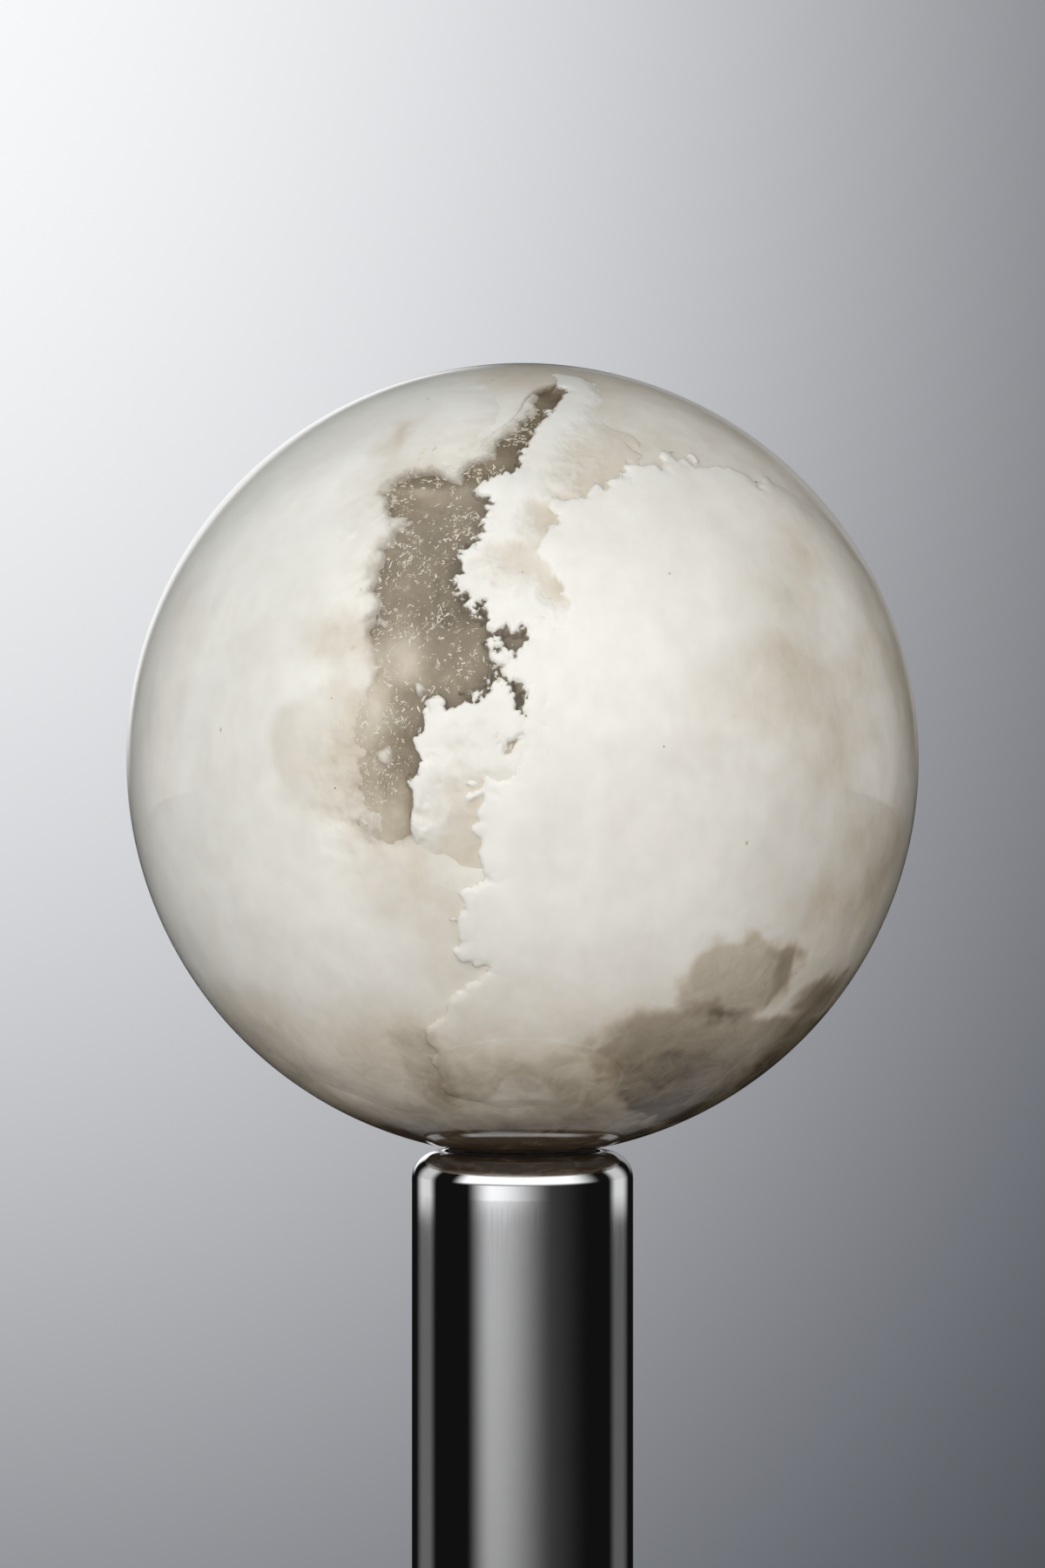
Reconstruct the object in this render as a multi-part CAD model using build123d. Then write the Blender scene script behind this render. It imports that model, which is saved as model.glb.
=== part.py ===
"""Storm glass: a sealed glass globe of camphor crystals that stands in a soft seat on a polished post.

The part's frame has +Z up and its origin at the centre of the felt's underside, on the surface that the
object stands on. The front of the globe, where the dark rift between the crystal banks shows, faces -Y.
All sizes are in millimetres.
"""

from build123d import *
import math
import os

# ---------------------------------------------------------------- globe
GLOBE_RADIUS = 50.0
GLOBE_WALL = 2.0
NECK_RADIUS = 6.0
NECK_BORE_RADIUS = 4.0
NECK_LENGTH = 17.0  # below the underside of the ball
NECK_ROOT_RADIUS = 1.0  # blown fillet between ball and neck

# ---------------------------------------------------------------- post
POST_RADIUS = 14.0
POST_LENGTH = 84.0
POST_WALL = 1.5
SHOULDER_RADIUS = POST_RADIUS / 4
RIM_LAND = 0.9  # flat between the shoulder and the bore of the post's closed top
GLOBE_SINK = 0.5  # underside of the ball below the rim of the post

# ---------------------------------------------------------------- seat and inserts
TUBE_SHARE = 0.5625  # how much of the flange's width is above the tube's wall
GROMMET_LENGTH = 14.0  # below the rim
FLANGE_RISE = 0.2  # flange above the rim
INSERT_LENGTH = 34.0
SOCKET_DEPTH = 21.0
PLUG_LENGTH = 22.0

# ---------------------------------------------------------------- base
BASE_RADIUS = 45.0
BASE_HEIGHT = 14.0
BASE_EDGE_RADIUS = 3.5
COVER_WALL = 1.5
GASKET_THICKNESS = 0.8
GASKET_INSET = 0.5
FELT_THICKNESS = 1.5
FELT_RECESS = 0.5  # felt inside the rim of the cover
FELT_GAP = 0.6

# ---------------------------------------------------------------- fasteners
SCREW_RADIUS = 4.0  # M8
SCREW_HEAD_RADIUS = 6.5
SCREW_HEAD_HEIGHT = 5.0
SCREW_GRIP = 15.0  # thread inside the plug
HEX_KEY_WIDTH = 5.0
HEX_SOCKET_DEPTH = 3.0
WASHER_RADIUS = 8.0
WASHER_THICKNESS = 1.6
SPRING_WASHER_RADIUS = 7.4
SPRING_WASHER_THICKNESS = 2.0
SPRING_WASHER_SLIT = 0.8
HEAD_COVER = 0.3  # screw head above the felt
PIN_RADIUS = 1.5
PIN_EDGE = 0.95  # metal between the pin and the side of the plug
PIN_IN_WEIGHT = 2.2
PIN_IN_PLUG = 4.0

# ---------------------------------------------------------------- neck closure
STOPPER_RADIUS = 3.7
STOPPER_LENGTH = 9.0
RING_SECTION = 0.75  # radius of an O-ring's section
RING_COUNT = 2
SEAL_DEPTH = 3.0  # resin inside the neck
SEAL_BEAD = 1.2  # resin below the neck's end

# ---------------------------------------------------------------- contents
ULLAGE = 1.2  # height of the air space at the top
BANK_THICKNESS = 6.9
CORE_GAP = 1.0  # liquid between the banks and the core
CROWN_RECESS = 3.0  # the crown's face behind the other crystals'
CROWN_THICKNESS = 3.0
FLAKE_SIZE = (1.3, 0.5, 0.25)
FLAKE_COUNT = 18

# ---------------------------------------------------------------- clearances
SLIP_GAP = 0.05  # between bonded or slipped turned parts
TURN_GAP = 0.05  # grommet in its socket
NECK_GAP = 0.2  # neck in the grommet
SEAT_GAP = 0.15  # ball over the flange
FLANGE_GAP = 0.2  # flange in the rim's bore
ROOT_RELIEF = 1.3  # chamfer that clears the neck's root
SCREW_HOLE_GAP = 0.3
FILL_GAP = 0.1  # contents inside the glass
BEVEL = 0.4  # broken edges of turned parts

# ---------------------------------------------------------------- heights
COVER_BOTTOM = FELT_THICKNESS - FELT_RECESS
BASE_TOP = COVER_BOTTOM + BASE_HEIGHT
POST_BOTTOM = BASE_TOP + GASKET_THICKNESS
RIM_Z = POST_BOTTOM + POST_LENGTH
INSERT_TOP = RIM_Z - POST_WALL
GLOBE_Z = RIM_Z - GLOBE_SINK + GLOBE_RADIUS
BALL_BOTTOM = GLOBE_Z - GLOBE_RADIUS
NECK_END = BALL_BOTTOM - NECK_LENGTH
COVER_UNDERSIDE = BASE_TOP - COVER_WALL

# ---------------------------------------------------------------- radii that follow
FILL_RADIUS = GLOBE_RADIUS - GLOBE_WALL - FILL_GAP
RIM_BORE_RADIUS = POST_RADIUS - SHOULDER_RADIUS - RIM_LAND
FLANGE_RADIUS = RIM_BORE_RADIUS - FLANGE_GAP
GROMMET_BORE = NECK_RADIUS + NECK_GAP
GROMMET_RADIUS = GROMMET_BORE + TUBE_SHARE * (FLANGE_RADIUS - GROMMET_BORE)
INSERT_RADIUS = POST_RADIUS - POST_WALL - SLIP_GAP
PIN_CIRCLE = INSERT_RADIUS - PIN_RADIUS - PIN_EDGE
INNER_SHOULDER = SHOULDER_RADIUS - POST_WALL
INNER_EDGE = BASE_EDGE_RADIUS - COVER_WALL
RELIEF = 0.5  # extra radius of a part's corner inside another part's corner
HEAD_STACK = WASHER_THICKNESS + SPRING_WASHER_THICKNESS + SCREW_HEAD_HEIGHT
HEAD_POCKET_DEPTH = HEAD_STACK + HEAD_COVER
HEAD_POCKET_RADIUS = WASHER_RADIUS + SCREW_HOLE_GAP


def rod(radius, low, high):
    """A round bar on the Z axis between two heights."""
    return Pos(0, 0, low) * Cylinder(radius, high - low, align=(Align.CENTER, Align.CENTER, Align.MIN))


def ball(radius):
    """A ball at the globe's centre."""
    return Pos(0, 0, GLOBE_Z) * Sphere(radius)


def circles_at(part, height):
    """The round edges of a part that lie in one horizontal plane."""
    return part.edges().filter_by(GeomType.CIRCLE).filter_by_position(Axis.Z, height - 0.01, height + 0.01)


def outer_circle_at(part, height):
    """The widest round edge of a part in one horizontal plane."""
    return circles_at(part, height).sort_by(SortBy.RADIUS)[-1]


def pin_hole(low, high):
    """The hole for the pin that stops the post turning on the base."""
    return Pos(PIN_CIRCLE, 0, 0) * rod(PIN_RADIUS + SLIP_GAP, low, high)


# ================================================================ globe
def glass_globe():
    """The blown ball with its filling neck, one wall of glass all round."""
    outside = ball(GLOBE_RADIUS) + rod(NECK_RADIUS, NECK_END, GLOBE_Z - GLOBE_RADIUS / 2)
    root = outside.edges().filter_by(GeomType.CIRCLE).filter_by(
        lambda edge: abs(edge.radius - NECK_RADIUS) < 0.01 and edge.center().Z > NECK_END + 1
    )
    outside = fillet(root, NECK_ROOT_RADIUS)
    bore = rod(NECK_BORE_RADIUS, NECK_END - 1, GLOBE_Z - GLOBE_RADIUS / 2)
    inside = ball(GLOBE_RADIUS - GLOBE_WALL) + bore
    glass = outside - inside
    return fillet(circles_at(glass, NECK_END), BEVEL)


def wedge_ring(inner, outer, low_latitude, high_latitude, start, end):
    """A piece of a thick ball between two radii, two latitudes and two bearings.

    A bearing is measured from the front (-Y) towards +X, in degrees.
    """
    def at(radius, latitude):
        angle = math.radians(latitude)
        return (radius * math.cos(angle), 0, radius * math.sin(angle))

    middle = (low_latitude + high_latitude) / 2
    outline = [
        ThreePointArc(at(outer, low_latitude), at(outer, middle), at(outer, high_latitude)),
        Line(at(outer, high_latitude), at(inner, high_latitude)),
        ThreePointArc(at(inner, high_latitude), at(inner, middle), at(inner, low_latitude)),
        Line(at(inner, low_latitude), at(outer, low_latitude)),
    ]
    section = make_face(outline)
    turned = revolve(section, axis=Axis.Z, revolution_arc=end - start)
    # whichever way the section was swept, its middle is put at the middle bearing
    centre = turned.center(CenterOf.MASS)
    now = math.degrees(math.atan2(centre.Y, centre.X)) if end - start < 360 else 0
    wanted = (start + end) / 2 - 90
    return Pos(0, 0, GLOBE_Z) * Rot(0, 0, wanted - now) * turned


# name: latitudes, bearings, how far the face lies behind the glass, thickness
CRYSTAL_BANKS = {
    "crystal_bank_right": (-60, 44, 0, 88, 0, BANK_THICKNESS),
    "crystal_bank_left": (-60, 62, -90, -16, 0, BANK_THICKNESS),
    "crystal_tongue": (14, 66, -11, -1, 0, BANK_THICKNESS / 2),
    "crystal_bank_rear_right": (-60, 60, 92, 178, 0, BANK_THICKNESS),
    "crystal_bank_rear_left": (-60, 60, -178, -94, 0, BANK_THICKNESS),
    "crystal_crown": (48, 80, 4, 84, CROWN_RECESS, CROWN_THICKNESS),
    "crystal_bed": (-84, -63, 0, 360, 0, BANK_THICKNESS),
}


def crystal_bank(name, cutter=False):
    """One crystal mass on the glass. As a cutter it runs out through the glass."""
    low, high, start, end, recess, thickness = CRYSTAL_BANKS[name]
    outer = FILL_RADIUS - recess
    inner = outer - thickness
    if cutter and recess == 0:
        outer += GLOBE_WALL
    return wedge_ring(inner, outer, low, high, start, end)


def crystal_core():
    """The deep crystal mass in the middle of the globe, behind the banks."""
    return ball(FILL_RADIUS - BANK_THICKNESS - CORE_GAP)


def crystal_flakes():
    """Loose flakes that cling to the glass across the rift, in a zigzag down it."""
    length, width, thickness = FLAKE_SIZE
    radius = FILL_RADIUS - FILL_GAP - thickness
    flakes = []
    for i in range(FLAKE_COUNT):
        share = i / (FLAKE_COUNT - 1)
        latitude = 10 - 22 * share
        bearing = -13.6 + 0.8 * (-1) ** i
        flake = Box(length, width, thickness)
        turn = Rot(0, 0, bearing - 90) * Rot(0, 90 - latitude, 0)
        flakes.append(Pos(0, 0, GLOBE_Z) * turn * Pos(0, 0, radius) * Rot(0, 0, 37 * i) * flake)
    return Compound(children=flakes)


def storm_solution():
    """The liquid: everything inside the glass that isn't crystal, stopper or the small air space."""
    liquid = ball(FILL_RADIUS)
    liquid += rod(NECK_BORE_RADIUS - FILL_GAP, NECK_END + SEAL_DEPTH + STOPPER_LENGTH, GLOBE_Z)
    air_floor = GLOBE_Z + FILL_RADIUS - ULLAGE
    liquid -= rod(GLOBE_RADIUS, air_floor, air_floor + GLOBE_RADIUS)
    for name in CRYSTAL_BANKS:
        liquid -= crystal_bank(name, cutter=True)
    liquid -= crystal_core()
    for flake in crystal_flakes().solids():
        liquid -= flake
    return liquid


# ================================================================ neck closure
def ring_heights():
    """Heights of the O-rings along the stopper, evenly spaced."""
    low = NECK_END + SEAL_DEPTH
    return [low + STOPPER_LENGTH * (i + 1) / (RING_COUNT + 1) for i in range(RING_COUNT)]


def ring_circle():
    """Radius of the circle through the middle of an O-ring's section."""
    return NECK_BORE_RADIUS - SLIP_GAP - RING_SECTION


def neck_stopper():
    """The turned plug in the neck, with a groove for each O-ring."""
    low = NECK_END + SEAL_DEPTH
    stopper = rod(STOPPER_RADIUS, low, low + STOPPER_LENGTH)
    groove_floor = ring_circle() - RING_SECTION - SLIP_GAP
    half_groove = RING_SECTION + SLIP_GAP
    for height in ring_heights():
        groove = rod(STOPPER_RADIUS + 1, height - half_groove, height + half_groove)
        stopper -= groove - rod(groove_floor, height - half_groove, height + half_groove)
    return chamfer(outer_circle_at(stopper, low + STOPPER_LENGTH), BEVEL)


def stopper_rings():
    """The O-rings on the stopper, as separate solids."""
    return Compound(children=[Pos(0, 0, z) * Torus(ring_circle(), RING_SECTION) for z in ring_heights()])


def neck_seal():
    """The resin that closes the neck below the stopper, with a bead over the neck's end."""
    plug = rod(NECK_BORE_RADIUS - SLIP_GAP, NECK_END, NECK_END + SEAL_DEPTH)
    bead = rod(NECK_RADIUS - BEVEL, NECK_END - SEAL_BEAD, NECK_END)
    bead = fillet(outer_circle_at(bead, NECK_END - SEAL_BEAD), SEAL_BEAD / 2)
    return plug + bead


# ================================================================ seat
def seat_grommet():
    """The soft seat: a flange with a dish for the ball, and a tube round the neck."""
    seat = rod(GROMMET_RADIUS, RIM_Z - GROMMET_LENGTH, INSERT_TOP)
    seat = chamfer(outer_circle_at(seat, RIM_Z - GROMMET_LENGTH), BEVEL)
    seat += rod(FLANGE_RADIUS, INSERT_TOP, RIM_Z + FLANGE_RISE)
    seat -= rod(GROMMET_BORE, RIM_Z - GROMMET_LENGTH - 1, RIM_Z + 1)
    relief_top = RIM_Z + FLANGE_RISE
    relief_depth = GLOBE_SINK + FLANGE_RISE + NECK_ROOT_RADIUS + NECK_GAP
    relief = Cone(
        GROMMET_BORE,
        GROMMET_BORE + ROOT_RELIEF,
        relief_depth,
        align=(Align.CENTER, Align.CENTER, Align.MAX),
    )
    seat -= Pos(0, 0, relief_top) * relief
    return seat - ball(GLOBE_RADIUS + SEAT_GAP)


# ================================================================ post
def post_shell():
    """The drawn and polished tube, closed at the top by a rounded shoulder with a bored rim."""
    outside = rod(POST_RADIUS, POST_BOTTOM, RIM_Z)
    outside = fillet(outer_circle_at(outside, RIM_Z), SHOULDER_RADIUS)
    inside = rod(POST_RADIUS - POST_WALL, POST_BOTTOM - POST_WALL, INSERT_TOP)
    inside = fillet(outer_circle_at(inside, INSERT_TOP), INNER_SHOULDER)
    shell = outside - inside - rod(RIM_BORE_RADIUS, INSERT_TOP - 1, RIM_Z + 1)
    rim = [edge for edge in circles_at(shell, RIM_Z) if edge.radius < RIM_BORE_RADIUS + 0.01]
    return chamfer(rim, BEVEL / 2)


def socket_insert():
    """The turned insert in the top of the post, with the bore that the seat turns in."""
    insert = rod(INSERT_RADIUS, INSERT_TOP - INSERT_LENGTH, INSERT_TOP)
    insert = fillet(outer_circle_at(insert, INSERT_TOP), INNER_SHOULDER + RELIEF)
    insert = chamfer(outer_circle_at(insert, INSERT_TOP - INSERT_LENGTH), BEVEL)
    socket_floor = INSERT_TOP - SOCKET_DEPTH
    insert -= rod(GROMMET_RADIUS + TURN_GAP, socket_floor, INSERT_TOP + 1)
    vent = rod(SCREW_RADIUS / 2, INSERT_TOP - INSERT_LENGTH - 1, socket_floor + 1)
    return insert - vent


def foot_plug():
    """The turned plug in the bottom of the post, tapped for the clamp screw."""
    plug = rod(INSERT_RADIUS, POST_BOTTOM, POST_BOTTOM + PLUG_LENGTH)
    for height in (POST_BOTTOM, POST_BOTTOM + PLUG_LENGTH):
        plug = chamfer(outer_circle_at(plug, height), BEVEL)
    plug -= rod(SCREW_RADIUS + SLIP_GAP, POST_BOTTOM - 1, POST_BOTTOM + PLUG_LENGTH + 1)
    return plug - pin_hole(POST_BOTTOM - 1, POST_BOTTOM + PIN_IN_PLUG + SLIP_GAP)


def post_gasket():
    """The thin black washer between the post and the base cover."""
    gasket = rod(POST_RADIUS - GASKET_INSET, BASE_TOP, POST_BOTTOM)
    gasket -= rod(SCREW_RADIUS + SCREW_HOLE_GAP, BASE_TOP - 1, POST_BOTTOM + 1)
    return gasket - pin_hole(BASE_TOP - 1, POST_BOTTOM + 1)


# ================================================================ base
def base_cover():
    """The polished cover of the base: a shallow cup, upside down."""
    outside = rod(BASE_RADIUS, COVER_BOTTOM, BASE_TOP)
    outside = fillet(outer_circle_at(outside, BASE_TOP), BASE_EDGE_RADIUS)
    inside = rod(BASE_RADIUS - COVER_WALL, COVER_BOTTOM - 1, COVER_UNDERSIDE)
    inside = fillet(outer_circle_at(inside, COVER_UNDERSIDE), INNER_EDGE)
    cover = outside - inside
    cover -= rod(SCREW_RADIUS + SCREW_HOLE_GAP, COVER_UNDERSIDE - 1, BASE_TOP + 1)
    cover -= pin_hole(COVER_UNDERSIDE - 1, BASE_TOP + 1)
    return chamfer(outer_circle_at(cover, COVER_BOTTOM), BEVEL)


def base_weight():
    """The cast iron weight inside the cover, with a pocket for the screw's head."""
    radius = BASE_RADIUS - COVER_WALL - SLIP_GAP
    weight = rod(radius, FELT_THICKNESS, COVER_UNDERSIDE)
    weight = fillet(outer_circle_at(weight, COVER_UNDERSIDE), INNER_EDGE + RELIEF)
    weight = chamfer(outer_circle_at(weight, FELT_THICKNESS), BEVEL)
    weight -= rod(HEAD_POCKET_RADIUS, FELT_THICKNESS - 1, FELT_THICKNESS + HEAD_POCKET_DEPTH)
    weight -= rod(SCREW_RADIUS + SCREW_HOLE_GAP, FELT_THICKNESS, COVER_UNDERSIDE + 1)
    return weight - pin_hole(COVER_UNDERSIDE - PIN_IN_WEIGHT - SLIP_GAP, COVER_UNDERSIDE + 1)


def felt_pad():
    """The felt disc under the base, which covers the screw."""
    radius = BASE_RADIUS - COVER_WALL - FELT_GAP
    return rod(radius, 0, FELT_THICKNESS)


# ================================================================ fasteners
WEB_UNDERSIDE = FELT_THICKNESS + HEAD_POCKET_DEPTH
HEAD_TOP = WEB_UNDERSIDE - WASHER_THICKNESS - SPRING_WASHER_THICKNESS


def clamp_screw():
    """The low-head M8 screw that pulls the post down on the base, without its thread."""
    head = rod(SCREW_HEAD_RADIUS, HEAD_TOP - SCREW_HEAD_HEIGHT, HEAD_TOP)
    head = chamfer(outer_circle_at(head, HEAD_TOP - SCREW_HEAD_HEIGHT), BEVEL)
    shank = rod(SCREW_RADIUS, HEAD_TOP, POST_BOTTOM + SCREW_GRIP)
    shank = chamfer(outer_circle_at(shank, POST_BOTTOM + SCREW_GRIP), BEVEL * 2)
    key = extrude(RegularPolygon(HEX_KEY_WIDTH / 2, 6, major_radius=False), HEX_SOCKET_DEPTH)
    return head + shank - Pos(0, 0, HEAD_TOP - SCREW_HEAD_HEIGHT) * key


def washer(radius, low, thickness):
    """A flat ring round the clamp screw."""
    ring = rod(radius, low, low + thickness)
    return ring - rod(SCREW_RADIUS + SCREW_HOLE_GAP, low - 1, low + thickness + 1)


def flat_washer():
    """The washer against the weight."""
    return washer(WASHER_RADIUS, WEB_UNDERSIDE - WASHER_THICKNESS, WASHER_THICKNESS)


def spring_washer():
    """The split washer under the screw's head, drawn flat as it is when tight."""
    ring = washer(SPRING_WASHER_RADIUS, HEAD_TOP, SPRING_WASHER_THICKNESS)
    slit = Box(SPRING_WASHER_RADIUS * 2, SPRING_WASHER_SLIT, SPRING_WASHER_THICKNESS * 4)
    return ring - Pos(SPRING_WASHER_RADIUS, 0, HEAD_TOP) * slit


def anti_turn_pin():
    """The slotted spring pin between the weight and the foot plug."""
    low = COVER_UNDERSIDE - PIN_IN_WEIGHT
    high = POST_BOTTOM + PIN_IN_PLUG
    pin = rod(PIN_RADIUS, low, high) - rod(PIN_RADIUS / 2, low - 1, high + 1)
    slot = Box(PIN_RADIUS * 2, PIN_RADIUS / 3, (high - low) * 3)
    return Pos(PIN_CIRCLE, 0, 0) * (pin - Pos(PIN_RADIUS, 0, low) * slot)


# ================================================================ export
PARTS = {
    "glass_globe": glass_globe,
    "storm_solution": storm_solution,
    "crystal_core": crystal_core,
    "crystal_flakes": crystal_flakes,
    "neck_stopper": neck_stopper,
    "stopper_rings": stopper_rings,
    "neck_seal": neck_seal,
    "seat_grommet": seat_grommet,
    "post_shell": post_shell,
    "socket_insert": socket_insert,
    "foot_plug": foot_plug,
    "post_gasket": post_gasket,
    "base_cover": base_cover,
    "base_weight": base_weight,
    "felt_pad": felt_pad,
    "clamp_screw": clamp_screw,
    "flat_washer": flat_washer,
    "spring_washer": spring_washer,
    "anti_turn_pin": anti_turn_pin,
}

os.makedirs("parts", exist_ok=True)
for part_name, make in PARTS.items():
    export_step(make(), f"parts/{part_name}.step")
for bank_name in CRYSTAL_BANKS:
    export_step(crystal_bank(bank_name), f"parts/{bank_name}.step")
print("globe centre", GLOBE_Z, "rim", RIM_Z)
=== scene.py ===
"""The looks of a storm glass: crystal clouds in a sealed globe on a polished post.

Everything is in metres in the object's own frame: +Z up, the front of the globe towards -Y. A direction
from the globe's centre is given by its bearing, 0 degrees at the front and 90 degrees at +X, and by its
latitude.
"""

from __future__ import annotations

import logging
import math
from dataclasses import dataclass, field
from enum import Enum

import bpy
import numpy as np
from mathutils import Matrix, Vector


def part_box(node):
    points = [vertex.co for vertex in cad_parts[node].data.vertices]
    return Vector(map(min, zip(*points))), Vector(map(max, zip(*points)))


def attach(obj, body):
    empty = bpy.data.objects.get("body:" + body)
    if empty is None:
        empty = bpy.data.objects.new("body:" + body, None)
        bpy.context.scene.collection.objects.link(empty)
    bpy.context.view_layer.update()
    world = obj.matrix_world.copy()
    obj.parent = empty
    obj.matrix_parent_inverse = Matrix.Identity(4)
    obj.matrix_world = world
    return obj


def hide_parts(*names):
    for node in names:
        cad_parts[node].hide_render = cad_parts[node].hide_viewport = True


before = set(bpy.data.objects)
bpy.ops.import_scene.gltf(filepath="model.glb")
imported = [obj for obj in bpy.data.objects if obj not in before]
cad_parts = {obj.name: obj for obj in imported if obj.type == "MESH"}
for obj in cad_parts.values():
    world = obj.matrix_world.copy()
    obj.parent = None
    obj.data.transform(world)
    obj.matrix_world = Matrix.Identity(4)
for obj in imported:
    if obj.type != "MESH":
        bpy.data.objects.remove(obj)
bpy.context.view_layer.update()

log = logging.getLogger("storm_glass")

MM = 0.001
SEED = 20
TURN = 2 * math.pi


# ---------------------------------------------------------------- meshes
def grid_quads(rows: int, columns: int, wrap: bool) -> np.ndarray:
    """The quads between neighbouring rows of a grid of points.

    Args:
        rows: how many rows of points there are.
        columns: how many points a row has.
        wrap: whether the last point of a row joins the first.

    Returns:
        One line of four point numbers for each quad.
    """
    number = np.arange(rows * columns).reshape(rows, columns)
    ahead = np.roll(number, -1, axis=1)
    last = columns if wrap else columns - 1
    corners = (number[:-1, :last], ahead[:-1, :last], ahead[1:, :last], number[1:, :last])
    return np.stack(corners, axis=-1).reshape(-1, 4)


def end_fans(rows: int, columns: int) -> np.ndarray:
    """The fans that close a wrapped grid on two points, which are stored after the grid's own.

    Args:
        rows: how many rows of points the grid has.
        columns: how many points a row has.

    Returns:
        One line of three point numbers for each triangle.
    """
    first = np.arange(columns)
    last = first + (rows - 1) * columns
    opening = np.stack([np.roll(first, -1), first, np.full(columns, rows * columns)], -1)
    closing = np.stack([last, np.roll(last, -1), np.full(columns, rows * columns + 1)], -1)
    return np.concatenate([opening, closing])


def make_piece(name: str, points: np.ndarray, quads: np.ndarray,
               fans: np.ndarray | None = None) -> bpy.types.Object:
    """Puts whole arrays of points and faces into a new smooth mesh object.

    Args:
        name: the piece's name.
        points: the points, in metres.
        quads: four point numbers for each quad.
        fans: three point numbers for each triangle, if there are any.

    Returns:
        The new object, linked to the scene.
    """
    fans = np.zeros((0, 3), int) if fans is None else fans
    mesh = bpy.data.meshes.new(name)
    mesh.vertices.add(len(points))
    mesh.vertices.foreach_set("co", np.ascontiguousarray(points, np.float32).ravel())
    corners = np.concatenate([quads.ravel(), fans.ravel()]).astype(np.int32)
    mesh.loops.add(len(corners))
    mesh.loops.foreach_set("vertex_index", corners)
    starts = np.concatenate([np.arange(len(quads)) * 4, quads.size + np.arange(len(fans)) * 3])
    mesh.polygons.add(len(starts))
    mesh.polygons.foreach_set("loop_start", starts.astype(np.int32))
    mesh.polygons.foreach_set("use_smooth", np.ones(len(starts), bool))
    mesh.update(calc_edges=True)
    mesh.validate()
    piece = bpy.data.objects.new(name, mesh)
    bpy.context.scene.collection.objects.link(piece)
    return piece


def set_values(piece: bpy.types.Object, name: str, values: np.ndarray) -> None:
    """Stores one number for each point of a piece as a named attribute."""
    attribute = piece.data.attributes.new(name, "FLOAT", "POINT")
    attribute.data.foreach_set("value", np.ascontiguousarray(values, np.float32))


def rounded(corners: list[tuple[float, float, float]], closed: bool = True, steps: int = 7) -> np.ndarray:
    """An outline of straight runs whose corners are arcs.

    Each corner (radius from the axis, height, corner radius) is cut back along both its runs by its corner
    radius times the tangent of half the turn, and the gap is filled by the arc. A point on each run close
    to the arc keeps the shading of the flat part even.

    Args:
        corners: the corners in order.
        closed: whether the last run goes back to the first corner.
        steps: how many stretches an arc has.

    Returns:
        The outline's points, one line of (radius from the axis, height) each.
    """
    data = np.array(corners, float)
    spots, radii = data[:, :2], data[:, 2]
    line = []
    for i, spot in enumerate(spots):
        end = not closed and i in (0, len(spots) - 1)
        if end or radii[i] <= 0:
            line.append(spot)
            continue
        before, after = spots[i - 1] - spot, spots[(i + 1) % len(spots)] - spot
        before, after = before / np.linalg.norm(before), after / np.linalg.norm(after)
        half = math.acos(np.clip(before @ after, -1, 1)) / 2
        cut = radii[i] / math.tan(half)
        middle = spot + (before + after) / np.linalg.norm(before + after) * radii[i] / math.sin(half)
        start, stop = spot + before * cut, spot + after * cut
        share = np.linspace(0, 1, steps + 1)[:, None]
        sweep = math.pi - 2 * half
        arms = (start - middle) * np.sin((1 - share) * sweep) + (stop - middle) * np.sin(share * sweep)
        line.append(start + before * radii[i] / 2)
        line.extend(middle + arms / math.sin(sweep))
        line.append(stop + after * radii[i] / 2)
    return np.array(line)


def turned(name: str, outline: np.ndarray, spokes: int = 192) -> bpy.types.Object:
    """A piece made by carrying a closed outline round the Z axis.

    A point of the surface is (r cos a, r sin a, z), where (r, z) runs along the outline and a runs once
    round. Outline points on the axis become a single point, closed by a fan.

    Args:
        name: the piece's name.
        outline: points (r, z) in metres, in an order that keeps the material on the left.
        spokes: how many steps the turn has.

    Returns:
        The turned piece.
    """
    angle = np.linspace(0, TURN, spokes, endpoint=False)
    on_axis = outline[:, 0] < 1e-9
    ring = outline if not on_axis.any() else outline[~on_axis]
    radius, height = ring[:, :1], ring[:, 1:]
    points = np.stack([radius * np.cos(angle), radius * np.sin(angle), height + 0 * angle], -1)
    points = points.reshape(-1, 3)
    rows = len(ring)
    quads = grid_quads(rows, spokes, wrap=True)
    if not on_axis.any():
        first, last = np.arange(spokes), (rows - 1) * spokes + np.arange(spokes)
        joint = np.stack([last, np.roll(last, -1), np.roll(first, -1), first], -1)
        return make_piece(name, points, np.concatenate([quads, joint]))
    tips = outline[on_axis]
    points = np.concatenate([points, np.stack([0 * tips[:, 0], 0 * tips[:, 0], tips[:, 1]], -1)])
    return make_piece(name, points, quads, end_fans(rows, spokes))


def outward(piece: bpy.types.Object) -> bpy.types.Object:
    """Turns a closed piece's faces outwards if its signed volume is negative.

    Args:
        piece: a closed piece whose faces all agree.

    Returns:
        The same piece.
    """
    mesh = piece.data
    mesh.calc_loop_triangles()
    spots = np.zeros(len(mesh.vertices) * 3, np.float32)
    mesh.vertices.foreach_get("co", spots)
    corners = np.zeros(len(mesh.loop_triangles) * 3, np.int32)
    mesh.loop_triangles.foreach_get("vertices", corners)
    a, b, c = spots.reshape(-1, 3)[corners.reshape(-1, 3)].transpose(1, 0, 2)
    if np.einsum("ij,ij->", a, np.cross(b, c)) < 0:
        mesh.flip_normals()
    return piece


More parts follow.
